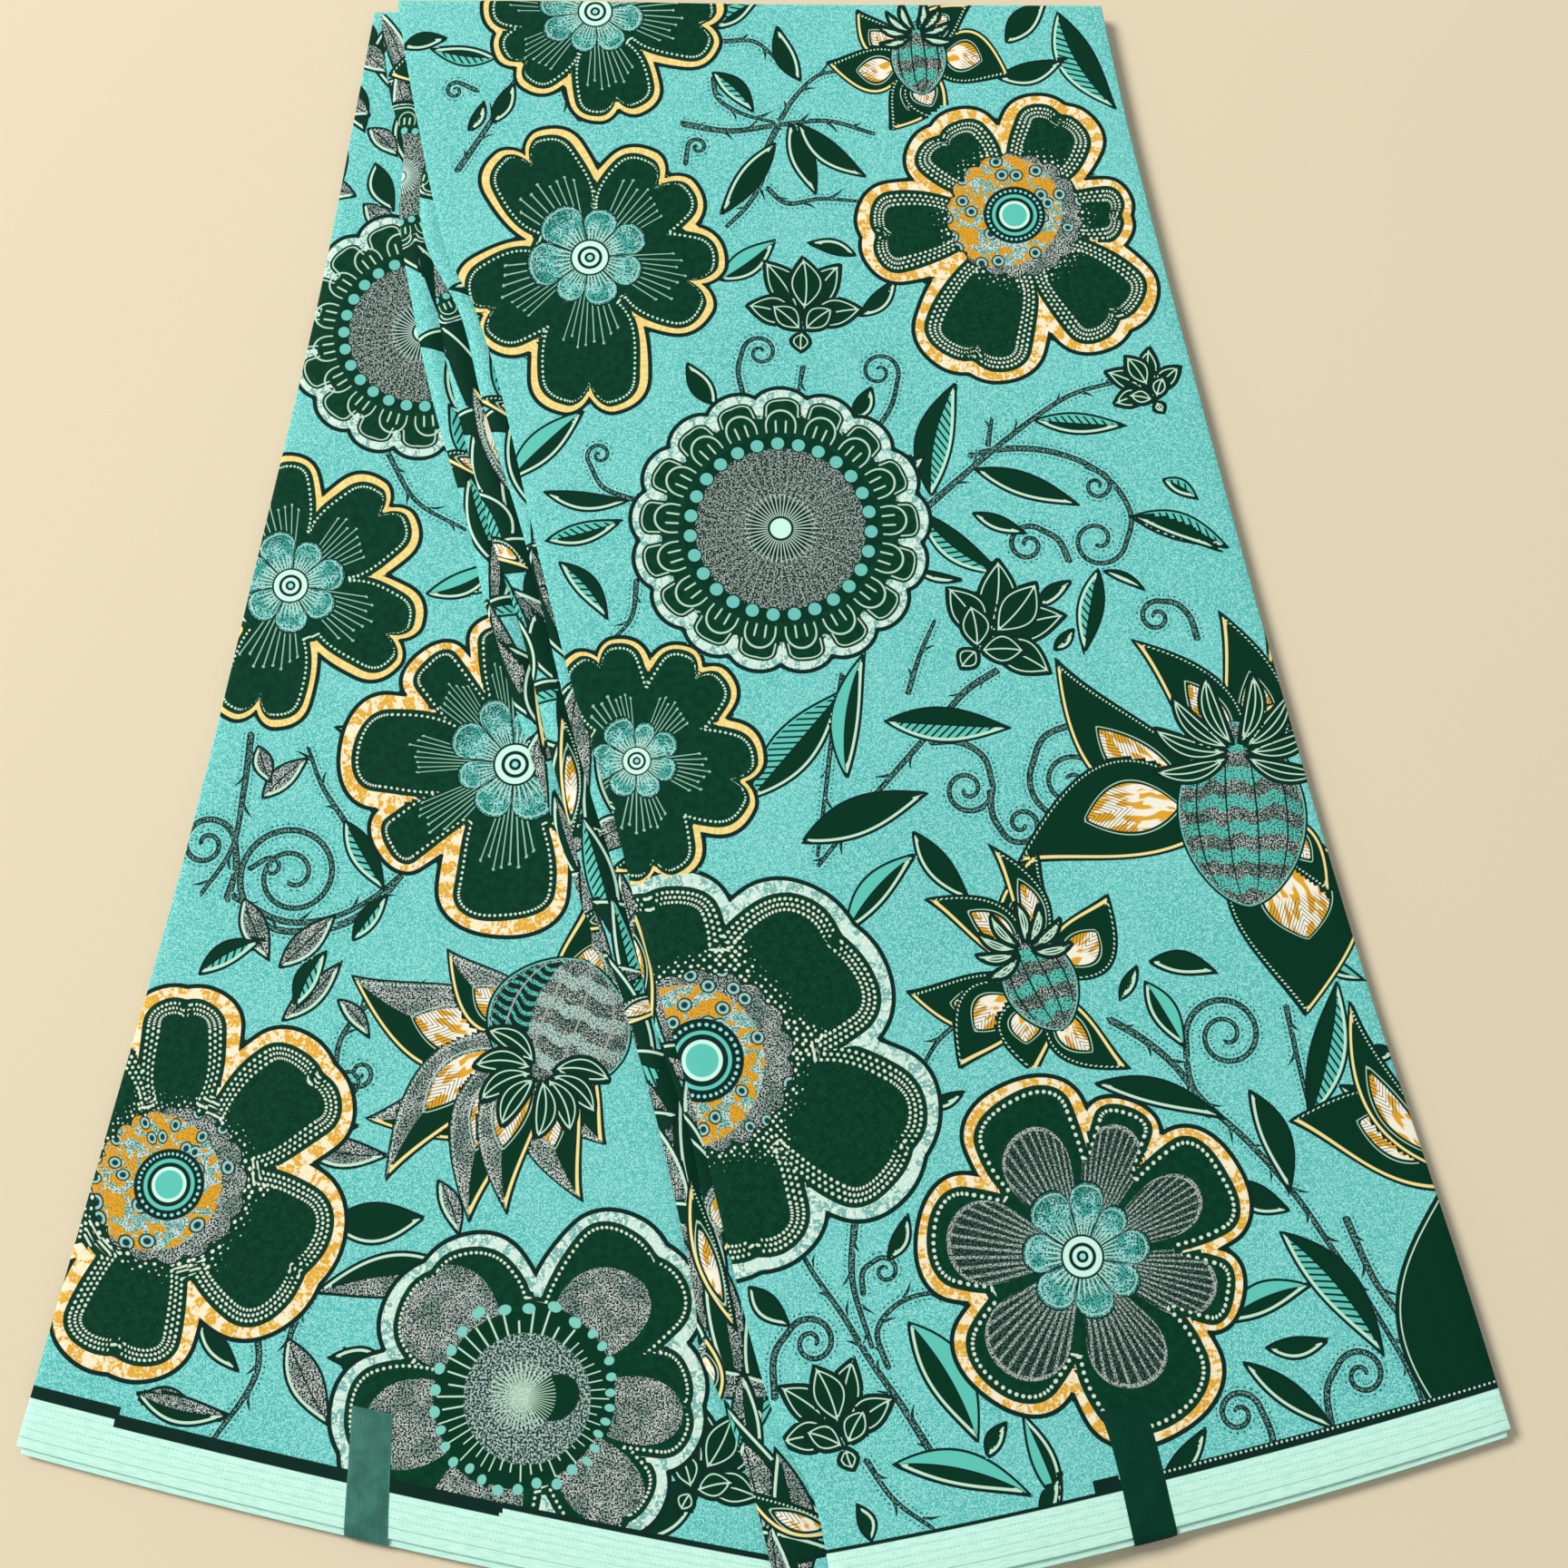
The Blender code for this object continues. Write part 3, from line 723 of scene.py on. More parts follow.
class Printer:
    """Works out a print's values on a mesh from the print's plan."""

    def __init__(self, plan: PrintPlan) -> None:
        """Keeps the plan."""
        self.plan = plan

    def values(self, places: Array, faces: Array, hem: Array) -> PrintValues:
        """The print's values on a mesh.

        Args:
            places: each vertex's plan point, as printed.
            faces: four vertex numbers each.
            hem: each vertex's place along the hem and height above it.

        Returns:
            The corners' vectors and the faces' finishes.
        """
        spots = places[faces]
        middles = spots.mean(1)
        corners = {
            "print_place": np.concatenate([spots, hem[faces][..., :1]], -1),
            "band": self.band(hem, faces),
            "vine": self.vines(spots, middles),
        }
        finish = np.full(len(faces), PrintFinish.LEAVES.value)
        for name, leaves in (("leaf", self.plan.leaves), ("flame", self.plan.flames),
                             ("pod", self.plan.pods), ("tuft", self.plan.tufts)):
            corners[f"{name}_edge"], corners[f"{name}_style"], covered = self.layer(leaves, spots, middles)
            if name != "leaf":
                finish[covered] = PrintFinish.PODS.value
        self.flowers(corners, finish, places, faces, middles)
        return PrintValues(corners, finish)

    def band(self, hem: Array, faces: Array) -> Array:
        """Height above the hem, and the band's height and its dark line's width."""
        height = hem[faces][..., 1]
        if self.plan.band is None:
            return np.stack([height, np.full_like(height, FAR), np.zeros_like(height)], -1)
        top, line = self.plan.band.at(hem[faces].mean(1)[:, 0])
        flat = np.ones((1, 4))
        return np.stack([height, top[:, None] * flat, line[:, None] * flat], -1)

    def vines(self, spots: Array, middles: Array) -> Array:
        """The place across the nearest stem, along it, and half its width, at each face's corners."""
        found = np.zeros(spots.shape[:2] + (3,))
        found[..., 2] = FAR
        best = np.full(len(middles), -VINE_MARGIN)
        for vine in self.plan.vines:
            route = vine.route()
            near = within(middles, route, VINE_MARGIN)
            depth, part = vine.nearest(middles[near])
            closer = depth > best[near]
            best[near[closer]] = depth[closer]
            found[near[closer]] = vine.beside(spots[near[closer]], part[closer])
        return found

    def layer(self, leaves: Sequence[Leaf], spots: Array, middles: Array) -> Stations:
        """The uppermost leaf on each face.

        Args:
            leaves: the layer's leaves, the uppermost last.
            spots: plan points at each face's corners.
            middles: each face's middle.

        Returns:
            Depth, along and across at the corners, the style, and which faces a leaf covers.
        """
        edge = np.zeros(spots.shape[:2] + (3,))
        edge[..., 0] = FAR
        style = np.zeros_like(edge)
        best = np.full(len(middles), -MOTIF_MARGIN)
        owner = np.full(len(middles), -1)
        under = np.zeros(len(middles), bool)
        for number, leaf in enumerate(leaves):
            room = leaf.width / 2 + abs(leaf.bend) * leaf.length + 3
            near = within(middles, np.array([leaf.base, leaf.tip]), room)
            depth = leaf.edge_at(middles[near])[:, 0]
            wins = (depth > 0) | (depth > best[near])
            taken = near[wins]
            under[taken] = best[taken] > 0
            best[taken] = depth[wins]
            owner[taken] = number
        for number, leaf in enumerate(leaves):
            mine = np.flatnonzero(owner == number)
            found = leaf.edge_at(spots[mine])
            depth = found[..., 0]
            found[..., 0] = np.where(under[mine][:, None], np.maximum(depth, SEAM_DEPTH), depth)
            edge[mine] = found
            style[mine] = leaf.style
        return edge, style, owner >= 0

    def flowers(self, corners: dict[str, Array], finish: Array, places: Array, faces: Array,
                middles: Array) -> None:
        """Adds the flowers' values, and sets the finish of the faces that they cover."""
        shape = (len(faces), 4, 3)
        edge, place, style, count = (np.zeros(shape) for _ in range(4))
        edge[..., 0] = FAR
        place[..., 2] = 1.0
        count[:] = NO_FLOWER
        best = np.full(len(faces), -MOTIF_MARGIN)
        owner, petal = np.full(len(faces), -1), np.zeros(len(faces), int)
        for number, flower in enumerate(self.plan.flowers):
            near = np.flatnonzero(np.hypot(*(middles - np.array([flower.x, flower.y])).T) < flower.reach)
            depth, nearest = flower.depth_at(middles[near])
            wins = depth > best[near]
            best[near[wins]] = depth[wins]
            owner[near[wins]] = number
            petal[near[wins]] = nearest[wins]
        for number, flower in enumerate(self.plan.flowers):
            mine = np.flatnonzero(owner == number)
            if not len(mine):
                continue
            used, back = np.unique(faces[mine], return_inverse=True)
            back = back.reshape(-1, 4)
            edge[mine, :, 0] = flower.depth_at(places[used])[0][back]
            place[mine] = flower.place_at(places[used])[back]
            for one in range(len(flower.petals)):
                group = mine[petal[mine] == one]
                along, bend, around = flower.along(one, places[faces[group]].reshape(-1, 2))
                along = along.reshape(-1, 4)
                along -= np.round((along - along[:, :1]) / around) * around
                edge[group, :, 1] = along
                half = flower.oval(one)[1]
                vary = 1 + RIM_CHANGE * np.sin(RIM_PHASE * along + flower.x + one)
                edge[group, :, 2] = flower.rim_width * vary * min(half / FULL_RIM_HALF, 1.0)
                count[group] = (len(flower.petals), 1.0, flower.hearts)
                closer = 1 - edge[group, :, 0] * bend.reshape(-1, 4)
                count[group, :, 1] = np.clip(closer, *DOT_SPREAD)
            style[mine] = flower.style
            finish[mine] = flower.fill.value
        corners["flower_edge"], corners["flower_place"] = edge, place
        corners["flower_style"], corners["flower_count"] = style, count


@dataclass(frozen=True)
class Edge:
    """One edge of a sheet: how it rolls over and how far it tucks under.

    From the flat top the cloth turns down over the roll as a quarter ellipse to the middle
    of the wall, back under as another, and then runs level underneath.
    """

    roll: float
    under: float = 0.6
    tuck: float = 5.0
    roll_steps: int = 8
    under_steps: int = 3

    def stations(self, wall: float) -> Stations:
        """The edge's stations from its hidden end to the flat top.

        Args:
            wall: the wall's height.

        Returns:
            Distance in from the edge, share of the wall's height, and distance in as the cloth
            lies flat, which is negative past the roll.
        """
        low = np.linspace(-math.pi / 2, 0, self.under_steps + 1)
        high = np.linspace(0, math.pi / 2, self.roll_steps + 1)[1:]
        inset = np.concatenate([[self.tuck, (self.tuck + self.under) / 2],
                                self.under * (1 - np.cos(low)), self.roll * (1 - np.cos(high))])
        lift = np.concatenate([[0.0, 0.0], 0.5 + 0.5 * np.sin(low), 0.5 + 0.5 * np.sin(high)])
        run = np.hypot(np.diff(inset), np.diff(lift) * wall)
        flat = self.roll - np.concatenate([np.cumsum(run[::-1])[::-1], [0.0]])
        return inset, lift, flat


@dataclass(frozen=True)
class HemEnd:
    """A raw lower end: the cloth settles towards it and ends in a thin edge."""

    settle: float = 9.0
    low: float = 0.62
    rim: float = 0.26

    def stations(self, wall: float) -> Stations:
        """The end's stations from its hidden end up to the flat top, as for an edge."""
        inset = np.array([3.0, 0.25, 0.0, 0.0, 0.25, 1.4, 2.8, 4.2, 5.6, 7.0, self.settle])
        down = 1 - (1 - self.low) * (1 - ease(0.0, self.settle, inset))
        lift = np.concatenate([[self.rim, self.rim, self.rim + 0.06, self.low - 0.06], down[4:]])
        flat = np.concatenate([[0.0, 0.0, 0.0], inset[3:]])
        return inset, lift, flat


@dataclass(frozen=True)
class PlainEnd:
    """An end that lies hidden under other cloth, with nothing to turn."""

    def stations(self, wall: float) -> Stations:
        """A single station at the very edge."""
        return np.array([0.0]), np.array([1.0]), np.array([0.0])


EdgeKind = Union[Edge, HemEnd, PlainEnd]


def run_of(first: EdgeKind, last: EdgeKind, length: Array, wall: float, cell: float,
           coarse_after: float = 0.0) -> Stations:
    """The stations right across a sheet, a row for each length.

    Args:
        first: the edge where they start.
        last: the edge where they end.
        length: the rows' distances between the edges.
        wall: the wall's height.
        cell: their spacing between the edges.
        coarse_after: where they get six times as far apart, or 0.

    Returns:
        Distance from the first edge, share of the wall's height, and distance as the cloth lies flat.
    """
    length = np.atleast_1d(length)[:, None]
    inset_a, lift_a, flat_a = (v[None] for v in first.stations(wall))
    inset_b, lift_b, flat_b = (v[None, ::-1] for v in last.stations(wall))
    start, stop = inset_a[:, -1:], inset_b[:, :1]
    room = float(length.max() - start.max() - stop.max())
    share = np.linspace(0, 1, max(int(room / cell), 2) + 1)[1:-1]
    if coarse_after:
        fine = np.arange(cell, coarse_after, cell)
        share = np.concatenate([fine, np.arange(coarse_after, room - cell, 6 * cell)]) / room
    middle = start + share[None] * (length - start - stop)
    every = np.ones_like(length)
    place = np.concatenate([inset_a * every, middle, length - inset_b], 1)
    lift = np.concatenate([lift_a * every, np.ones_like(middle), lift_b * every], 1)
    flat = np.concatenate([flat_a * every, middle, length - flat_b], 1)
    return place, lift, flat


@dataclass
class ClothSheet:
    """A sheet of cloth between two lines down the fan, with its print."""

    name: str
    node: str
    left: Curve
    right: Curve
    underside: Curve
    wall: float
    plan: PrintPlan
    first: EdgeKind
    last: EdgeKind
    top: EdgeKind
    foot: EdgeKind
    length: float = SIDE_LENGTH
    starts: float = 0.0
    stops: float = 0.0
    bulge: float = 0.0
    cell: float = 1.36
    coarse_after: float = 0.0
    span: Pair = (0.0, 1.0)
    slot: str = "printed_cotton"
    rests_on: tuple[str, ...] = ()

    def surface(self) -> Stations:
        """The sheet's points, from the left line to the right one in rows down the sheet.

        The stations keep their distances from both edges. A station's height is the underside
        plus the wall times its shares across and down.

        Returns:
            The points, their plan points as printed, and their places along the hem and above it.
        """
        spread = self.length - self.starts - self.stops
        down, lift_down, flat_down = (v[0] for v in run_of(self.top, self.foot, np.array([spread]), self.wall,
                                                           self.cell))
        shares = (self.starts + down) / self.length
        flat_shares = (self.starts + flat_down) / self.length
        start, end = self.sides(shares)
        width = np.linalg.norm(end - start, axis=1)
        aside, lift_aside, flat_aside = run_of(self.first, self.last, width, self.wall, self.cell,
                                               self.coarse_after)
        side = aside / width[:, None]
        plan = start[:, None] + (end - start)[:, None] * side[..., None]
        plan[..., 1] -= self.droop(side, shares)
        height = self.underside(plan) + self.wall * lift_aside * lift_down[:, None]
        flat_start, flat_end = self.sides(flat_shares)
        flat_side = flat_aside / width[:, None]
        places = flat_start[:, None] + (flat_end - flat_start)[:, None] * flat_side[..., None]
        places[..., 1] -= self.droop(side, shares)
        above = (self.length - self.stops - self.starts - flat_down)[:, None] * np.ones_like(side)
        hem = np.stack([flat_aside, above], -1)
        return np.concatenate([plan, height[..., None]], -1), places, hem

    def sides(self, shares: Array) -> tuple[Array, Array]:
        """The two ends of each row, which lie at the span's shares between the lines."""
        left, right = self.left(shares), self.right(shares)
        return left + (right - left) * self.span[0], left + (right - left) * self.span[1]

    def droop(self, side: Array, shares: Array) -> Array:
        """How far the lower end bows downwards."""
        side = self.span[0] + (self.span[1] - self.span[0]) * side
        return self.bulge * 4 * side * (1 - side) * np.clip(shares, 0, 2)[:, None] ** 8

    def make(self, finishes: Sequence[bpy.types.Material]) -> bpy.types.Object:
        """The sheet as an object that rides on the body and replaces its node."""
        points, places, hem = self.surface()
        faces = grid_faces(*points.shape[:2])
        values = Printer(self.plan).values(places.reshape(-1, 2), faces, hem.reshape(-1, 2))
        piece = new_piece(self.name, points.reshape(-1, 3), faces, finishes, values)
        rows, columns = points.shape[:2]
        add_square_map(piece, rows, columns)
        area = face_area(points)
        wide = float(np.linalg.norm(points[rows // 2, 1:] - points[rows // 2, :-1], axis=1).sum())
        long = float(np.linalg.norm(points[1:, columns // 2] - points[:-1, columns // 2], axis=1).sum())
        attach(piece, "root")
        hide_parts(self.node)
        return piece


def face_area(points: Array) -> float:
    """Area of a grid of points, as the sum of its cells' half cross products."""
    across = points[1:, 1:] - points[:-1, :-1]
    down = points[1:, :-1] - points[:-1, 1:]
    return float(np.linalg.norm(np.cross(across, down), axis=-1).sum() / 2)


def grid_faces(rows: int, columns: int) -> Array:
    """Faces of a grid whose rows run down the cloth and whose columns run to the right.

    Each face goes round anticlockwise seen from above, so it faces up.
    """
    number = np.arange(rows * columns).reshape(rows, columns)
    return np.stack([number[:-1, :-1], number[1:, :-1], number[1:, 1:], number[:-1, 1:]], -1).reshape(-1, 4)


def rim_of(grid: Array) -> Array:
    """The numbers round a grid's rim, clockwise seen from above."""
    return np.concatenate([grid[0, :-1], grid[:-1, -1], grid[-1, :0:-1], grid[:0:-1, 0]])


def add_vectors(mesh: bpy.types.Mesh, label: str, domain: str, vectors: Array) -> None:
    """Writes a vector for each corner or point of a mesh, for the shaders to read."""
    layer = mesh.attributes.new(label, "FLOAT_VECTOR", domain)
    layer.data.foreach_set("vector", vectors.astype(np.float32).ravel())


def new_piece(name: str, points: Array, faces: Array, finishes: Sequence[bpy.types.Material],
              values: Optional[PrintValues] = None) -> bpy.types.Object:
    """A new object in the scene.

    Args:
        name: the piece's name.
        points: its vertices in millimetres.
        faces: four vertex numbers each.
        finishes: its material slots.
        values: the print on it.

    Returns:
        The object, at the origin.
    """
    mesh = bpy.data.meshes.new(name)
    mesh.vertices.add(len(points))
    mesh.vertices.foreach_set("co", (points * MM).astype(np.float32).ravel())
    mesh.loops.add(faces.size)
    mesh.loops.foreach_set("vertex_index", faces.astype(np.int32).ravel())
    mesh.polygons.add(len(faces))
    mesh.polygons.foreach_set("loop_start", np.arange(0, faces.size, 4, dtype=np.int32))
    mesh.update(calc_edges=True)
    mesh.shade_smooth()
    for finish in finishes:
        mesh.materials.append(finish)
    if values is not None:
        mesh.polygons.foreach_set("material_index", values.finish.astype(np.int32))
        for label, vectors in values.corners.items():
            add_vectors(mesh, label, "CORNER", vectors)
    mesh.validate()
    piece = bpy.data.objects.new(name, mesh)
    bpy.context.scene.collection.objects.link(piece)
    return piece


def add_square_map(piece: bpy.types.Object, rows: int, columns: int) -> None:
    """A UV map that lays a grid over the unit square, so a bake has room for the whole print."""
    mesh = piece.data
    corners = np.zeros(len(mesh.loops), np.int32)
    mesh.loops.foreach_get("vertex_index", corners)
    row, column = np.divmod(corners, columns)
    places = np.column_stack([column / (columns - 1), 1 - row / (rows - 1)])
    layer = mesh.uv_layers.new(name="OFBake")
    layer.uv.foreach_set("vector", places.astype(np.float32).ravel())


Colour = tuple[float, float, float, float]
Number = Union[float, "Field"]
Fields = dict[str, "Field"]


def ink(red: int, green: int, blue: int) -> Colour:
    """A colour as seen, each part from 0 to 255, as the linear colour that a shader takes."""
    def linear(part: int) -> float:
        """One part of the colour."""
        share = part / 255
        return share / 12.92 if share <= 0.04045 else ((share + 0.055) / 1.055) ** 2.4
    return (linear(red), linear(green), linear(blue), 1.0)


@dataclass(frozen=True)
class Inks:
    """The print's colours."""

    aqua: Colour = ink(92, 194, 188)
    pale_aqua: Colour = ink(150, 226, 220)
    deep_aqua: Colour = ink(70, 168, 162)
    green: Colour = ink(2, 52, 34)
    outline: Colour = ink(10, 42, 36)
    teal: Colour = ink(96, 200, 184)
    mint: Colour = ink(205, 250, 235)
    pale: Colour = ink(196, 232, 208)
    white: Colour = ink(246, 242, 224)
    cream: Colour = ink(246, 226, 150)
    gold: Colour = ink(226, 168, 46)
    grey: Colour = ink(160, 168, 164)
    black: Colour = ink(14, 38, 32)


INK = Inks()


@dataclass(frozen=True)
class Field:
    """A number or colour that changes over the cloth, with the sums that shaders can do."""

    board: "Board"
    socket: bpy.types.NodeSocket

    def sum(self, operation: str, *others: Number) -> "Field":
        """One sum with this number first."""
        return self.board.math(operation, self, *others)

    def __add__(self, other: Number) -> "Field":
        """The sum."""
        return self.sum("ADD", other)

    __radd__ = __add__

    def __sub__(self, other: Number) -> "Field":
        """The difference."""
        return self.sum("SUBTRACT", other)

    def __rsub__(self, other: Number) -> "Field":
        """The difference, the other way round."""
        return self.board.math("SUBTRACT", other, self)

    def __mul__(self, other: Number) -> "Field":
        """The product."""
        return self.sum("MULTIPLY", other)

    __rmul__ = __mul__

    def __truediv__(self, other: Number) -> "Field":
        """The quotient."""
        return self.sum("DIVIDE", other)

    def __abs__(self) -> "Field":
        """The size without its sign."""
        return self.sum("ABSOLUTE")

    def power(self, exponent: Number) -> "Field":
        """Raised to a power."""
        return self.sum("POWER", exponent)

    def root(self) -> "Field":
        """The square root, of 0 where it is below that."""
        return self.most(0.0).sum("SQRT")

    def part(self) -> "Field":
        """What is left over the whole number below."""
        return self.sum("FRACT")

    def whole(self) -> "Field":
        """The whole number below."""
        return self.sum("FLOOR")

    def least(self, other: Number) -> "Field":
        """The smaller of the two."""
        return self.sum("MINIMUM", other)

    def most(self, other: Number) -> "Field":
        """The larger of the two."""
        return self.sum("MAXIMUM", other)

    def step(self, edge: Number, soft: float, falls: bool) -> "Field":
        """A soft step at an edge, from 1 to 0 if it falls, or else from 0 to 1."""
        value, edge = (self - edge, 0.0) if isinstance(edge, Field) else (self, edge)
        ends = (value, edge - soft / 2, edge + soft / 2, float(falls), float(not falls))
        return self.board.made("ShaderNodeMapRange", ends)

    def below(self, edge: Number, soft: float = 0.25) -> "Field":
        """1 where it is below an edge and 0 above it."""
        return self.step(edge, soft, True)

    def above(self, edge: Number, soft: float = 0.25) -> "Field":
        """1 where it is above an edge and 0 below it."""
        return self.step(edge, soft, False)

    def near(self, middle: Number, half: Number, soft: float = 0.2) -> "Field":
        """1 within half of a middle value."""
        return abs(self - middle).below(half, soft)

    def mix(self, first: object, second: object) -> "Field":
        """A colour: the first where this is 0 and the second where it is 1."""
        return self.board.made("ShaderNodeMix", {0: self, 6: first, 7: second}, 2, data_type="RGBA")

    def noise(self, scale: float, detail: float = 1.0, distortion: float = 0.0) -> "Field":
        """Cloudy noise from 0 to 1 at this place, with scale waves in a millimetre."""
        given = {"Vector": self, "Scale": scale, "Detail": detail, "Distortion": distortion}
        return self.board.made("ShaderNodeTexNoise", given, noise_dimensions="2D")

    def cells(self, scale: float, uneven: float) -> tuple["Field", "Field"]:
        """Cells with scale of them in a millimetre: distance in cells, and a number for each cell."""
        given = {"Vector": self, "Scale": scale, "Randomness": uneven}
        near = self.board.made("ShaderNodeTexVoronoi", given, voronoi_dimensions="2D", feature="F1")
        colour = Field(self.board, near.socket.node.outputs["Color"])
        return near, self.board.made("ShaderNodeSeparateColor", (colour,))

    def chance(self) -> "Field":
        """A number from 0 to 1 that looks random, the same wherever this value is the same."""
        return self.board.made("ShaderNodeTexWhiteNoise", {"W": self}, noise_dimensions="1D")


class Board:
    """Adds nodes to one node tree. Every value may be a field or a plain number."""

    def __init__(self, tree: bpy.types.NodeTree) -> None:
        """Keeps the tree."""
        self.tree = tree

    def node(self, kind: str, **settings: object) -> bpy.types.Node:
        """A new node with its settings."""
        made = self.tree.nodes.new(kind)
        for name, value in settings.items():
            setattr(made, name, value)
        return made

    def plug(self, value: object, socket: bpy.types.NodeSocket) -> None:
        """Links a field into a socket, or sets the socket's own value."""
        if isinstance(value, Field):
            self.tree.links.new(value.socket, socket)
        else:
            socket.default_value = value

    def made(self, kind: str, given: Union[dict, Sequence], output: int = 0, **settings: object) -> Field:
        """A new node's output, once its inputs are given by name or number."""
        node = self.node(kind, **settings)
        for place, value in given.items() if isinstance(given, dict) else enumerate(given):
            self.plug(value, node.inputs[place])
        return Field(self, node.outputs[output])

    def math(self, operation: str, *values: Number) -> Field:
        """One sum."""
        return self.made("ShaderNodeMath", values, operation=operation)

    def attribute(self, name: str) -> Field:
        """The piece's own vector of that name."""
        return Field(self, self.node("ShaderNodeAttribute", attribute_name=name).outputs["Vector"])

    def read(self, name: str) -> tuple[Field, Field, Field]:
        """The three parts of the piece's own vector of that name."""
        return self.split(self.attribute(name))

    def fill(self, node: bpy.types.Node, values: dict[str, object]) -> None:
        """Gives a node its inputs by name, with underscores for spaces."""
        for label, value in values.items():
            self.plug(value, node.inputs[label.replace("_", " ")])

    def split(self, vector: Field) -> tuple[Field, Field, Field]:
        """A vector's three parts."""
        made = self.made("ShaderNodeSeparateXYZ", (vector,)).socket.node
        return tuple(Field(self, made.outputs[i]) for i in range(3))

    def vector(self, x: Number, y: Number) -> Field:
        """A vector from two parts."""
        return self.made("ShaderNodeCombineXYZ", (x, y, 0.0))

    def polar(self, x: Field, y: Field) -> tuple[Field, Field]:
        """Distance from the middle, and angle as a share of the circle from -0.5 to 0.5."""
        radius = (x * x + y * y).root()
        return radius, self.math("ARCTAN2", y, x) / (2 * math.pi)

    def dots(self, along: Field, across: Field, pitch: Number, radius: Number, closer: Number = 1.0) -> Field:
        """A row of round dots: 1 on them. Closer is how much a millimetre along has shrunk."""
        beside = ((along / pitch).part() - 0.5) * pitch * closer
        return (beside * beside + across * across).root().below(radius, 0.2)


@dataclass(frozen=True)
class Effect:
    """A shader node group with named inputs and outputs, built once."""

    name: str
    inputs: dict[str, object]
    outputs: dict[str, object]
    draw: Callable[[Board, Fields], Fields]

    def tree(self) -> bpy.types.NodeTree:
        """The group, built when it is first asked for."""
        ready = bpy.data.node_groups.get(self.name)
        if ready:
            return ready
        tree = bpy.data.node_groups.new(self.name, "ShaderNodeTree")
        for side, sockets in (("INPUT", self.inputs), ("OUTPUT", self.outputs)):
            for label, value in sockets.items():
                made = tree.interface.new_socket(label, in_out=side, socket_type=socket_type(value))
                made.default_value = value
        board = Board(tree)
        start, end = board.node("NodeGroupInput"), board.node("NodeGroupOutput")
        found = self.draw(board, {label: Field(board, start.outputs[label]) for label in self.inputs})
        for label, value in found.items():
            board.plug(value, end.inputs[label])
        return tree

    def place(self, board: Board, **values: object) -> Fields:
        """Places the group on a board.

        Args:
            board: the material's board.
            **values: its inputs, with underscores for spaces.

        Returns:
            Its outputs by name.
        """
        made = board.node("ShaderNodeGroup", node_tree=self.tree())
        board.fill(made, values)
        return {label: Field(board, made.outputs[label]) for label in self.outputs}


def socket_type(value: object) -> str:
    """The kind of socket that a default value needs."""
    if isinstance(value, float):
        return "NodeSocketFloat"
    return "NodeSocketVector" if len(value) == 3 else "NodeSocketColor"


POINT = (0.0, 0.0, 0.0)


def draw_ground(board: Board, given: Fields) -> Fields:
    """Aqua with the fine paler crackle of wax, and slow changes of tone."""
    place = given["Place"]
    veins = place.noise(0.8, 1.0, 0.9)
    fine = place.noise(1.9, 0.0, 0.5)
    slow = place.noise(0.014, 2.0, 0.6)
    colour = slow.near(0.44, 0.06, 0.08).mix(INK.aqua, ink(104, 202, 196))
    colour = (veins * 0.6 + fine * 0.4).above(0.52, 0.07).mix(colour, INK.pale_aqua)
    return {"Color": (fine.below(0.4, 0.08) * 0.7).mix(colour, INK.deep_aqua)}


def draw_speckle(board: Board, given: Fields) -> Fields:
    """Black and grey-white grains, as where the wax cracked all over."""
    grains = given["Place"].noise(1.7, 0.0, 0.5)
    tone = given["Place"].noise(0.12, 1.0)
    light = tone.above(0.5, 0.3).mix(ink(140, 164, 156), ink(200, 210, 204))
    return {"Color": grains.above(0.515, 0.06).mix(INK.black, light)}


def draw_leaf(board: Board, given: Fields) -> Fields:
    """A leaf over what lies under it: two halves, a midrib, strokes or a contour, an outline."""
    depth, along, across = board.split(given["Edge"])
    left, right, marks = board.split(given["Style"])
    speckle = speckled(given["Place"])
    on_left = across.above(0.0, 0.15)
    tone = right + (left - right) * on_left
    fill = tone.below(0.5, 0.1).mix(tone.below(1.5, 0.1).mix(speckle, INK.teal), INK.green)
    slant = (along + abs(across) * 0.9) / 3.1
    half = marks.above(0.5, 0.1) * (1 - on_left) * marks.below(1.5, 0.1) + marks.below(-0.5, 0.1) * on_left
    strokes = slant.part().near(0.5, 0.17, 0.12) * half * depth.above(1.4, 0.3)
    fill = strokes.mix(fill, INK.outline)
    contour = marks.above(1.5, 0.1) * depth.near(1.85, 0.26, 0.2)
    dark = (left + right).below(0.5, 0.1)
    rib = abs(across).below(0.28, 0.2) * depth.above(1.3, 0.4) * marks.below(2.5, 0.1)
    fill = (rib * (1 - dark * marks.below(1.5, 0.1))).mix(fill, dark.mix(INK.outline, INK.pale))
    pale_line = depth.near(1.6, 0.5, 0.2) * across.below(0.0, 0.2) * marks.below(1.5, 0.1)
    fill = contour.most(pale_line).mix(fill, INK.pale)
    fill = depth.below(0.95, 0.2).mix(fill, INK.outline)
    return {"Color": depth.above(0.0, 0.2).mix(given["Under"], fill)}


def draw_vine(board: Board, given: Fields) -> Fields:
    """A stem: a dark band with a grainy light core, and a row of small dots beside it."""
    across, along, half = board.split(given["Edge"])
    depth = half - abs(across)
    grains = given["Place"].noise(1.5, 1.0, 0.4).above(0.54, 0.1)
    core = depth.above(0.5, 0.15) * grains
    colour = core.mix(INK.outline, ink(112, 158, 150))
    beads = board.dots(along, depth + 1.2, 1.8, 0.3) * half.above(0.5, 0.1)
    under = beads.mix(given["Under"], INK.outline)
    return {"Color": depth.above(0.0, 0.2).mix(under, colour)}


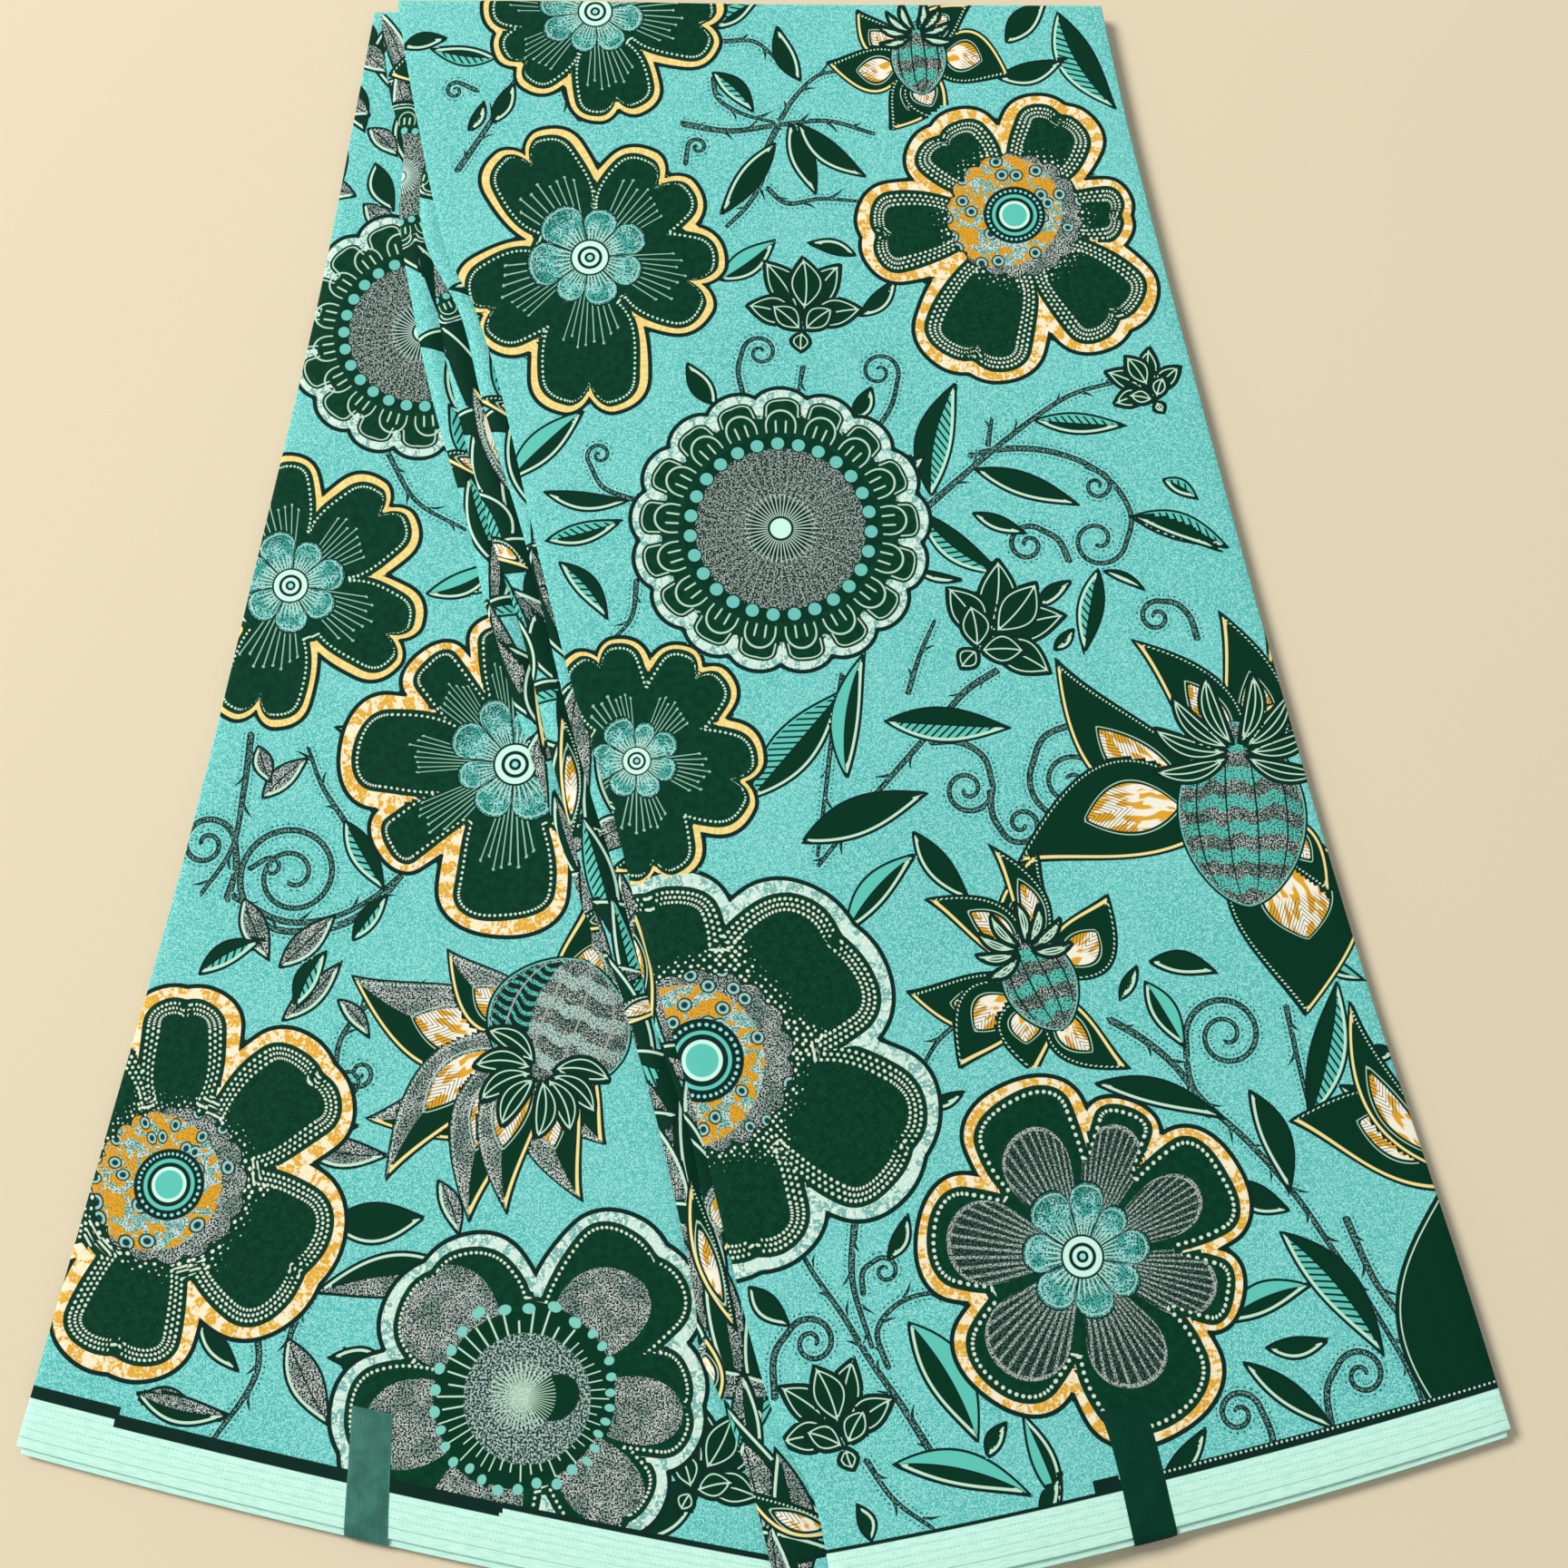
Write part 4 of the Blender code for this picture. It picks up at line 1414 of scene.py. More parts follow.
def draw_rim(board: Board, given: Fields) -> Fields:
    """A flower's outline, tinted rim, dark ground and rows of dots.

    The rim's tint is 0 for pale gold, 1 for mottled gold and white and 2 for mint blocks.
    """
    depth, along, width = board.split(given["Edge"])
    tint, rows, radius = board.split(given["Style"])
    _, closer, _ = board.split(given["Count"])
    depth = depth - 1.7
    streaks = board.vector(along / 1.3, depth / 5.0).noise(1.0, 1.0, 0.2)
    patches = board.vector(along / 4.2, depth / 7.0).noise(1.0, 1.0, 0.5)
    gold = (streaks.above(0.5, 0.3) * 0.7).mix(INK.cream, ink(232, 196, 104))
    grains = given["Place"].noise(0.9, 1.0, 0.3)
    mottled = (grains * 0.3 + patches * 0.7).above(0.51, 0.05).mix(ink(246, 238, 208), ink(226, 172, 62))
    mottled = (grains.below(0.4, 0.08) * 0.6).mix(mottled, INK.cream)
    mint = patches.above(0.5, 0.05).mix(ink(120, 186, 176), ink(196, 234, 222))
    mint = grains.above(0.6, 0.06).mix(mint, INK.white)
    rim = tint.above(0.5, 0.1).mix(gold, mottled)
    rim = tint.above(1.5, 0.1).mix(rim, mint)
    inside = depth - width
    tone = given["Place"].noise(0.35, 2.0)
    ground = (tone.above(0.5, 0.35) * 0.6).mix(INK.green, ink(6, 70, 46))
    pitch = radius * 4.5
    level = (inside - 1.0) / (radius * 3.3)
    layer = level.whole()
    across = (level - layer - 0.5) * radius * 3.3
    shown = layer.above(-0.5, 0.1) * (layer - rows).below(-0.5, 0.1)
    dots = board.dots(along + layer * pitch * 0.5, across, pitch, radius, closer) * shown
    colour = dots.mix(ground, tint.above(0.5, 0.1).mix(INK.pale, ink(212, 228, 208)))
    colour = inside.below(0.0, 0.25).mix(colour, rim)
    colour = inside.near(-0.1, 0.25, 0.25).mix(colour, INK.outline)
    colour = depth.below(0.0, 0.25).mix(colour, INK.outline)
    return {"Color": (depth + 1.7).above(0.0, 0.25).mix(given["Under"], colour), "Inside": inside}


def draw_band(board: Board, given: Fields) -> Fields:
    """The pale selvedge band over the print, with its dark line, its fine marks, and a thin painted shade
    line 3.6 mm above the hem where a layer's edge steps.
    """
    height, top, line = board.split(given["Band"])
    _, _, along = board.split(given["Place"])
    weave = board.vector(along / 5.0, height / 0.6).noise(1.0, 1.0, 0.2)
    mint = (weave.above(0.55, 0.2) * 0.5).mix(INK.mint, ink(176, 232, 214))
    dashes = (height / 2.7).part().near(0.5, 0.1, 0.1) * (along / 1.6).part().near(0.5, 0.3, 0.2)
    mint = (dashes * height.above(5.0, 0.4) * 0.4).mix(mint, ink(120, 190, 172))
    # painted shade: a thin darker line 3.6 mm above the hem stands for the shadow where a layer's edge steps
    # down
    mint = (height.near(3.6, 0.14, 0.2) * 0.5).mix(mint, ink(70, 130, 116))
    lace = board.dots(along, height - top - line + 0.9, 1.9, 0.42) * line.near(3.4, 0.4, 0.1)
    dark = lace.mix(INK.outline, INK.pale)
    colour = height.below(top + line, 0.25).mix(given["Under"], dark)
    return {"Color": height.below(top, 0.3).mix(colour, mint)}


def draw_grain(board: Board, given: Fields) -> Fields:
    """The plain weave's height, with uneven threads, and the roughness that goes with it."""
    height, _, _ = board.split(given["Band"])
    _, _, along = board.split(given["Place"])
    turn = 2 * math.pi / 0.46
    threads = (along * turn).sum("SINE") * (height * turn).sum("SINE")
    slubs = board.vector(along / 4.0, height).noise(1.4, 1.0)
    soft = board.vector(along, height).noise(0.05, 2.0)
    return {"Height": threads * 0.35 + slubs * 0.5, "Roughness": 0.6 + soft * 0.16 + slubs * 0.06}


SPECKLE = Effect("Wax speckle", {"Place": POINT}, {"Color": INK.grey}, draw_speckle)
GROUND = Effect("Wax ground", {"Place": POINT}, {"Color": INK.aqua}, draw_ground)
LEAF = Effect("Printed leaf", {"Under": INK.aqua, "Edge": POINT, "Style": POINT, "Place": POINT},
              {"Color": INK.green}, draw_leaf)
VINE = Effect("Printed vine", {"Under": INK.aqua, "Edge": POINT, "Place": POINT}, {"Color": INK.green},
              draw_vine)
RIM = Effect("Flower rim",
             {"Under": INK.aqua, "Edge": POINT, "Style": POINT, "Count": POINT, "Place": POINT},
             {"Color": INK.green, "Inside": 0.0}, draw_rim)
BAND = Effect("Selvedge band", {"Under": INK.aqua, "Band": POINT, "Place": POINT}, {"Color": INK.mint},
              draw_band)
GRAIN = Effect("Cotton grain", {"Band": POINT, "Place": POINT}, {"Height": 0.0, "Roughness": 0.55},
               draw_grain)


# The flower size in mm that the fillings' own sizes are for, and a full turn in radians
CHARTED_SIZE = 60.0
FULL_TURN = 6.2832


def speckled(place: Field) -> Field:
    """The grainy black and white of cracked wax at a place."""
    return SPECKLE.place(place.board, Place=place)["Color"]


@dataclass(frozen=True)
class Petals:
    """Where a place lies among a flower's petals, as fields."""

    radius: Field
    turn: Field
    across: Field
    number: Field

    def stripes(self, count: int, half: float) -> tuple[Field, Field]:
        """Radial lines: 1 on them, and each line's own random number."""
        phase = self.turn * count
        beside = (phase.part() - 0.5) * self.radius * (2 * math.pi / count)
        return abs(beside).below(half, 0.2), phase.whole().chance()


class Bloom:
    """A round flower in the shader: its rim, and then one of the fillings.

    Each filling is a method that takes the colour so far and gives it back with its marks on it.
    """

    def __init__(self, board: Board, under: Field, place: Field) -> None:
        """Draws the rim, and keeps where each place lies in its flower.

        Args:
            board: the material's board.
            under: the colour under the flower.
            place: the place on the print.
        """
        self.board = board
        self.place = place
        self.rim = RIM.place(board, Under=under, Edge=board.attribute("flower_edge"),
                             Style=board.attribute("flower_style"), Count=board.attribute("flower_count"),
                             Place=place)
        self.inside = self.rim["Inside"]
        self.x, self.y, size = board.read("flower_place")
        self.size = size / CHARTED_SIZE

    @property
    def count(self) -> Field:
        """How many petals the flower has."""
        return self.board.read("flower_count")[0]

    def filled(self, finish: PrintFinish) -> Field:
        """The whole flower's colour, with the filling of a finish."""
        draw = {
            PrintFinish.STAMENS: self.stamens,
            PrintFinish.MOSAIC: self.mosaic,
            PrintFinish.MEDALLION: self.medallion,
            PrintFinish.RAYS: self.rays,
            PrintFinish.BEADED: self.beaded,
        }[finish]
        return draw(self.rim["Color"])

    def petals(self, count: Number, lead: float = 0.0) -> Petals:
        """Where a place lies among some even petals, the first along X."""
        radius, turn = self.board.polar(self.x, self.y)
        phase = turn * count + (0.5 + lead)
        number = phase.whole()
        return Petals(radius, turn, (phase - number) * 2 - 1, number)

    @staticmethod
    def discs(colour: Field, radius: Field, size: Field, *steps: tuple[float, object]) -> Field:
        """Discs drawn one over the other, each with its reach and its colour."""
        for reach, tone in steps:
            colour = radius.below(reach * size, 0.3).mix(colour, tone)
        return colour

    def stamens(self, colour: Field) -> Field:
        """Fans of thin stamens round stippled teal petals and an eye."""
        size = self.size
        petals, _, hearts = self.board.read("flower_count")
        at = self.petals(petals)
        count = petals * 13
        number = (at.turn * count).whole()
        luck = number.chance()
        beside = ((at.turn * count - number) - 0.5) * at.radius * FULL_TURN / count
        fan = abs(at.across).below(0.62, 0.06) * self.inside.above(2.4, 0.3)
        reach = (35 - at.across * at.across * 9 + luck * 5) * size
        lines = abs(beside).below(0.22, 0.2) * at.radius.below(reach, 0.4)
        past = at.radius - reach
        tips = (beside * beside + past * past).root().below(0.55, 0.25)
        colour = (lines.most(tips) * fan * 0.9).mix(colour, ink(158, 206, 186))
        return self.heart(colour, hearts, 23.0)

    def heart(self, colour: Field, count: Number, reach: float) -> Field:
        """Round stippled teal petals, and the eye in their middle."""
        size = self.size
        at = self.petals(count, 0.5)
        lobe = 1 - abs(at.across).power(2.2)
        edge = (0.64 + 0.38 * lobe.root() + (at.number.chance() - 0.5) * 0.24) * reach * size
        grains = self.place.noise(1.5, 0.0, 0.4)
        share = at.radius / (reach * size)
        rim_shade = (share - 0.72).most(0.0) * 0.5
        stipple = (grains + (0.66 - share).most(0.0) * 0.46 + rim_shade).above(0.56, 0.06)
        tone = self.place.noise(0.22, 1.0)
        teal = tone.above(0.5, 0.2).mix(ink(74, 176, 164), INK.pale_aqua)
        petal = (stipple * 0.9).mix(teal, ink(14, 66, 58))
        folds, _ = at.stripes(45, 0.26)
        petal = (folds * at.radius.below(14 * size, 3.0) * 0.9).mix(petal, ink(190, 232, 218))
        petal = abs(at.across).above(0.92, 0.05).mix(petal, INK.outline)
        petal = ((edge - at.radius).near(1.1, 0.3, 0.3) * 0.8).mix(petal, ink(170, 226, 214))
        colour = at.radius.below(edge + 0.7, 0.3).mix(colour, INK.outline)
        colour = at.radius.below(edge, 0.3).mix(colour, petal)
        return self.discs(colour, at.radius, size, (8.0, INK.outline), (7.2, INK.mint), (5.0, INK.outline),
                          (3.7, INK.mint), (2.2, INK.outline), (1.1, INK.pale_aqua))

    def mosaic(self, colour: Field) -> Field:
        """A field of scattered dots round a mosaic of gold, white and teal, and a banded eye."""
        x, y, size = self.x, self.y, self.size
        at = self.petals(self.count)
        radius, turn = at.radius, at.turn
        local = self.board.vector(x, y)
        near, luck = local.cells(0.41, 0.5)
        far = (31 + abs(at.across).power(4.0) * 14 + luck * 4) * size
        full = ((far - radius) / 7.0).least(1.0).most(0.0)
        dots = (near / 0.41).below(full * 0.66, 0.2) * self.inside.above(5.4, 0.5)
        colour = dots.mix(colour, ink(226, 234, 216))
        phase = (turn * 19).part() - 0.5
        edge = (27.5 - phase * phase * 9) * size
        grains = self.place.noise(1.5, 1.0)
        patch = local.noise(0.13, 1.0, 0.5)
        light = self.place.noise(0.3, 1.0).above(0.5, 0.06).mix(ink(200, 228, 220), ink(140, 202, 194))
        light = (grains.above(0.53, 0.05) * 0.85).mix(light, ink(52, 92, 88))
        gold = (grains.above(0.54, 0.06) * 0.7).mix(INK.gold, ink(166, 116, 34))
        tile = patch.near(0.46, 0.085, 0.012).mix(gold, light)
        tile = ((radius.above(23.0 * size, 0.6) * patch.below(0.5, 0.02)) * 0.9).mix(tile, gold)
        speckle = speckled(self.place)
        behind = (x + 5 * size) * (x + 5 * size) + (y - 3 * size) * (y - 3 * size)
        tile = behind.root().above(24.5 * size, 0.5).mix(tile, speckle)
        spot, chosen = local.cells(0.13, 0.8)
        gap = (spot / 0.13) + chosen.below(0.5, 0.01) * 9
        for reach, tone in ((2.7, ink(52, 46, 22)), (2.1, ink(150, 206, 200)), (1.2, ink(20, 60, 66))):
            tile = gap.below(reach, 0.25).mix(tile, tone)
        colour = radius.below(edge + 0.6, 0.3).mix(colour, INK.outline)
        colour = radius.below(edge, 0.3).mix(colour, tile)
        beads = self.board.dots(turn * 68, radius / size - 10.8, 2.0, 0.55)
        colour = radius.below(12.6 * size, 0.3).mix(colour, INK.outline)
        colour = beads.mix(colour, INK.pale_aqua)
        colour = radius.near(8.4 * size, 0.7, 0.25).mix(colour, INK.teal)
        return self.discs(colour, radius, size, (6.2, INK.mint), (5.0, INK.teal))

    def medallion(self, colour: Field) -> Field:
        """Scallops with arcs and dashes, a ring of beads and a speckled disc of thin rays."""
        size = self.size
        at = self.petals(17)
        rise = at.radius / size
        arcs = self.inside.near(0.9, 0.3, 0.25) * rise.above(48.0, 0.5)
        over = (rise - 43.0).most(0.0) / 7.4
        loops = (at.across * at.across / 0.56 + over * over).root().near(1.0, 0.055, 0.04)
        loops = loops * rise.above(41.0, 0.3)
        dashes, _ = at.stripes(68, 0.36)
        dashes = dashes * rise.near(43.6 - at.across * at.across * 3, 2.6, 0.6)
        dashes = dashes * abs(at.across).below(0.56, 0.06)
        colour = (arcs.most(loops).most(dashes) * 0.9).mix(colour, INK.pale)
        grains = self.place.noise(1.6, 0.0, 0.5)
        speckle = grains.above(0.56, 0.05).mix(INK.black, ink(160, 178, 170))
        beads = self.board.dots(at.turn * 226.8, rise - 36.1, 8.4, 2.6)
        rims = self.board.dots(at.turn * 226.8, rise - 36.1, 8.4, 3.1)
        colour = self.discs(colour, at.radius, size, (39.0, INK.green), (34, speckle))
        rays, _ = at.stripes(44, 0.22)
        colour = (rays * at.radius.below(33 * size, 0.3) * 0.4).mix(colour, ink(170, 190, 180))
        colour = rims.mix(colour, INK.outline)
        colour = beads.mix(colour, ink(110, 196, 184))
        colour = at.radius.below(12.5 * size, 2.0).mix(colour, INK.outline)
        colour = (rays * at.radius.below(14.5 * size, 0.3) * 0.85).mix(colour, ink(196, 226, 214))
        return self.discs(colour, at.radius, size, (5.2, INK.outline), (4.2, INK.mint))

    def rays(self, colour: Field) -> Field:
        """Grey petals of fine stripes behind a heart of teal ones."""
        size = self.size
        at = self.petals(self.count)
        span = (1 - (at.across / 0.84).power(2.0)).root()
        edge = (30 + 20 * span) * size
        stripes, _ = at.stripes(90, 0.46)
        grains = self.place.noise(1.6, 0.0, 0.4)
        light = grains.above(0.52, 0.1).mix(ink(72, 96, 88), ink(176, 196, 186))
        petal = stripes.mix(grains.above(0.58, 0.06).mix(INK.black, ink(72, 100, 92)), light)
        petal = ((edge - at.radius).below(1.6, 0.3) * grains.above(0.45, 0.1)).mix(petal, ink(176, 186, 178))
        shown = abs(at.across).below(0.84, 0.05) * at.radius.below(edge, 0.4) * self.inside.above(2.6, 0.3)
        colour = shown.mix(colour, petal)
        return self.heart(colour, 8, 24.0)

    def beaded(self, colour: Field) -> Field:
        """Speckled petals round a speckled disc, with loose beads and a dark rayed middle."""
        x, y, size = self.x, self.y, self.size
        at = self.petals(self.count)
        speckle = speckled(self.place)
        luck = (at.number + 3.0).chance()
        lean = at.across + (luck - 0.5) * 0.5
        span = (1 - (lean / 0.76).power(2.0)).most(0.0).root()
        edge = (28 + 25 * span) * size
        shown = abs(lean).below(0.76, 0.05) * at.radius.below(edge, 0.4) * self.inside.above(2.4, 0.3)
        colour = shown.mix(colour, speckle)
        rise = at.radius / size
        colour = rise.below(27.0 + luck * 4, 0.4).mix(colour, INK.green)
        rays, number = at.stripes(46, 0.26)
        colour = (rays * rise.below(24.0 + number * 5, 0.4)).mix(colour, INK.pale)
        light = self.place.noise(1.2, 1.0).above(0.52, 0.06).mix(ink(30, 60, 54), ink(168, 194, 186))
        colour = (x * x + (y + 2) * (y + 2)).root().below(21 * size, 0.5).mix(colour, light)
        left, low = x / size - 5.0, y / size + 9.0
        eye = ((left * left) * 0.7 + low * low).root()
        colour = eye.below(8.0, 0.4).mix(colour, INK.green)
        colour = (rays * rise.below(11.0, 0.4) * 0.7).mix(colour, INK.pale)
        which = at.turn * 30
        swing = (which.whole().chance() - 0.5) * 3.0
        beads = self.board.dots(at.turn * 190.0, rise - 29.0 + swing, 6.33, 1.7)
        return beads.mix(colour, ink(126, 206, 192))


class PrintedCotton:
    """The printed cloth's finish, one material for each kind of flower.

    Each draws the ground, the vines, the leaves, its own flowers and then the selvedge band.
    """

    def __init__(self, finish: PrintFinish) -> None:
        """Keeps which finish it is."""
        self.finish = finish

    def material(self) -> bpy.types.Material:
        """The material."""
        material, board = new_board("printed_" + self.finish.name.lower())
        place = board.attribute("print_place")
        band = board.attribute("band")
        colour = GROUND.place(board, Place=place)["Color"]
        colour = VINE.place(board, Under=colour, Edge=board.attribute("vine"), Place=place)["Color"]
        colour = LEAF.place(board, Under=colour, Edge=board.attribute("leaf_edge"),
                            Style=board.attribute("leaf_style"), Place=place)["Color"]
        if self.finish is PrintFinish.PODS:
            colour = self.pods(board, colour, place)
        elif self.finish is not PrintFinish.LEAVES:
            colour = Bloom(board, colour, place).filled(self.finish)
        colour = BAND.place(board, Under=colour, Band=band, Place=place)["Color"]
        finish_cotton(board, colour, band, place)
        return material

    def pods(self, board: Board, colour: Field, place: Field) -> Field:
        """Flame petals, then scaled pods, then the short leaves of their tufts."""
        colour = self.flames(board, colour, place)
        colour = self.scales(board, colour, place)
        return LEAF.place(board, Under=colour, Edge=board.attribute("tuft_edge"),
                          Style=board.attribute("tuft_style"), Place=place)["Color"]

    @staticmethod
    def flames(board: Board, under: Field, place: Field) -> Field:
        """Pointed petals: a cream line down one side, and a light heart with fine strokes."""
        depth, along, across = board.read("flame_edge")
        look, half, length = board.read("flame_style")
        speckle = speckled(place)
        fill = (look.above(0.5, 0.1) * across.below(0.0, 0.3)).mix(INK.green, speckle)
        share = along / length
        heart = depth - half * 0.52 - (share - 0.4) * (share - 0.4) * half * 4.5
        blotch = board.vector(along / 9, across / 3).noise(1.0, 1.0, 0.4)
        light = blotch.above(0.52, 0.05).mix(INK.white, INK.gold)
        strokes = ((along - abs(across) * 1.6) / 2.2).part().near(0.5, 0.13, 0.12)
        light = (strokes * share.above(0.42, 0.04) * 0.85).mix(light, INK.outline)
        fill = (heart.near(-1.2, 0.22, 0.2) * 0.8).mix(fill, INK.pale)
        fill = heart.above(0.0, 0.3).mix(fill, light)
        fill = (depth.near(1.5, 0.5, 0.25) * across.above(0.0, 0.3)).mix(fill, INK.cream)
        dots = board.dots(along, depth - 1.5, 1.5, 0.36) * across.below(0.0, 0.3)
        fill = dots.mix(fill, INK.pale)
        fill = depth.below(0.7, 0.25).mix(fill, INK.outline)
        return depth.above(0.0, 0.2).mix(under, fill)

    @staticmethod
    def scales(board: Board, under: Field, place: Field) -> Field:
        """A blunt pod with wavy bands, teal and speckled by turns, and thin ribs from end to end."""
        depth, along, across = board.read("pod_edge")
        look, half, length = board.read("pod_style")
        speckle = speckled(place)
        wave = board.vector(along / 40, across / 9).noise(1.0, 1.0)
        share = along / length * 2 - 1
        beside = across / (half * (1.02 - share * share).most(0.05).root())
        row = along / 5.4 + beside * beside * 0.5 + wave * 1.6
        light = look.above(2.5, 0.1).mix(INK.teal, ink(176, 204, 196))
        body = (row * 0.5).part().above(0.46, 0.04).mix(light, speckle)
        streaks = (row * 1.5).part().near(0.5, 0.2, 0.1).mix(INK.outline, INK.teal)
        body = ((beside + wave * 0.6).below(-0.1, 0.05) * look.above(2.5, 0.1)).mix(body, streaks)
        grains = place.noise(1.6, 0.0, 0.4)
        body = ((grains + beside * beside * 0.12).above(0.58, 0.05) * 0.8).mix(body, INK.outline)
        ribs = abs((beside * 2.2).part() - 0.5) * half / 2.2
        body = ribs.below(0.34, 0.2).mix(body, look.above(2.5, 0.1).mix(INK.outline, INK.grey))
        body = depth.near(1.8, 0.5, 0.2).mix(body, speckle)
        body = depth.near(1.1, 0.25, 0.2).mix(body, INK.teal)
        body = depth.below(0.8, 0.25).mix(body, INK.outline)
        return depth.above(0.0, 0.2).mix(under, body)


def new_board(name: str) -> tuple[bpy.types.Material, Board]:
    """A new material, and the board of its shader."""
    material = bpy.data.materials.new(name)
    material.use_nodes = True
    return material, Board(material.node_tree)


def finish_surface(board: Board, height: Optional[Field] = None, strength: float = 1.0, distance: float = 0.0,
                   **values: object) -> None:
    """Gives a material's surface its values and its fine relief.

    Args:
        board: the material's board.
        height: the relief's height, or None for a smooth surface.
        strength: the relief's strength.
        distance: metres to a height of 1.
        **values: the surface's inputs, with underscores for spaces.
    """
    surface = board.tree.nodes["Principled BSDF"]
    if height is not None:
        values["Normal"] = board.made("ShaderNodeBump", {"Strength": strength, "Distance": distance,
                                                         "Height": height})
    board.fill(surface, values)


def finish_cotton(board: Board, colour: Field, band: Field, place: Field) -> None:
    """The feel of the cotton under its colour: roughness, a faint sheen and the weave."""
    grain = GRAIN.place(board, Band=band, Place=place)
    finish_surface(board, grain["Height"], 0.35, 0.00006, Base_Color=colour, Roughness=grain["Roughness"],
                   Sheen_Weight=0.012, Sheen_Roughness=0.45, Specular_IOR_Level=0.07)


def fold_edges() -> bpy.types.Material:
    """The finish of the hidden folds' edges. Its colours change along the edge and from fold to
    fold, as each shows its own stretch of the print."""
    material, board = new_board("fold_edges")
    place = board.attribute("edge_place")
    along, layer, hem = board.split(place)
    number = layer.whole()
    row = board.vector(along, number * 37.0)
    print_tone = row.noise(0.055, 1.0)
    small = board.vector(along, number * 37.0 + layer * 0.5).noise(0.32, 1.0)
    colour = GROUND.place(board, Place=board.vector(along, layer * 3.0))["Color"]
    colour = print_tone.above(0.5, 0.05).mix(colour, INK.green)
    colour = (print_tone.above(0.5, 0.05) * small.above(0.58, 0.06)).mix(colour, INK.gold)
    colour = (small.below(0.36, 0.05) * 0.9).mix(colour, INK.mint)
    colour = hem.mix(colour, INK.mint)
    finish_cotton(board, colour, board.vector(layer * 0.8, 0.0), place)
    return material


@dataclass(frozen=True)
class TapeFinish:
    """A blank tape's colour and gloss."""

    name: str
    colour: Colour
    # lighter tone for streaks, clouds and edges; on the satin tape it partly stands for painted sheen
    light: Colour
    roughness: float
    coat: float
    gloss: float

    def material(self) -> bpy.types.Material:
        """The material: fine streaks along the tape, a few soft creases and paler long edges. The lighter
        streaks and clouds are partly the tape's own tone and partly painted sheen.
        """
        material, board = new_board(self.name)
        along, across, _ = board.read("tape_place")
        streaks = board.vector(along / 9.0, across * 1.6).noise(1.0, 2.0)
        cloud = board.vector(along, across).noise(0.11, 2.0, 0.5)
        # painted sheen, in part: streaks and clouds blend towards the lighter tone, which is also the tape's
        # own streaky tone
        colour = (streaks * 0.35 + cloud.above(0.5, 0.3) * 0.35).mix(self.colour, self.light)
        # paler along the long edges: blended towards the lighter tone
        paler_edges = abs(across).above(7.4, 0.6) * board.vector(along, across).noise(0.9).above(0.5, 0.2)
        colour = (paler_edges * 0.5).mix(colour, self.light)
        finish_surface(board, cloud * 1.5 + streaks * 0.3, 0.25, 0.0002, Base_Color=colour,
                       Roughness=streaks * 0.12 + (self.roughness - 0.05) + cloud * 0.08,
                       Coat_Weight=self.coat, Coat_Roughness=0.3, Specular_IOR_Level=self.gloss)
        return material


# One fold's side from its foot up: share of its height, and share of its bulge or -1 for the groove
FOLD_STEPS = ((0.12, 0.55), (0.32, 0.95), (0.68, 0.95), (0.88, 0.55), (1.0, -1.0))


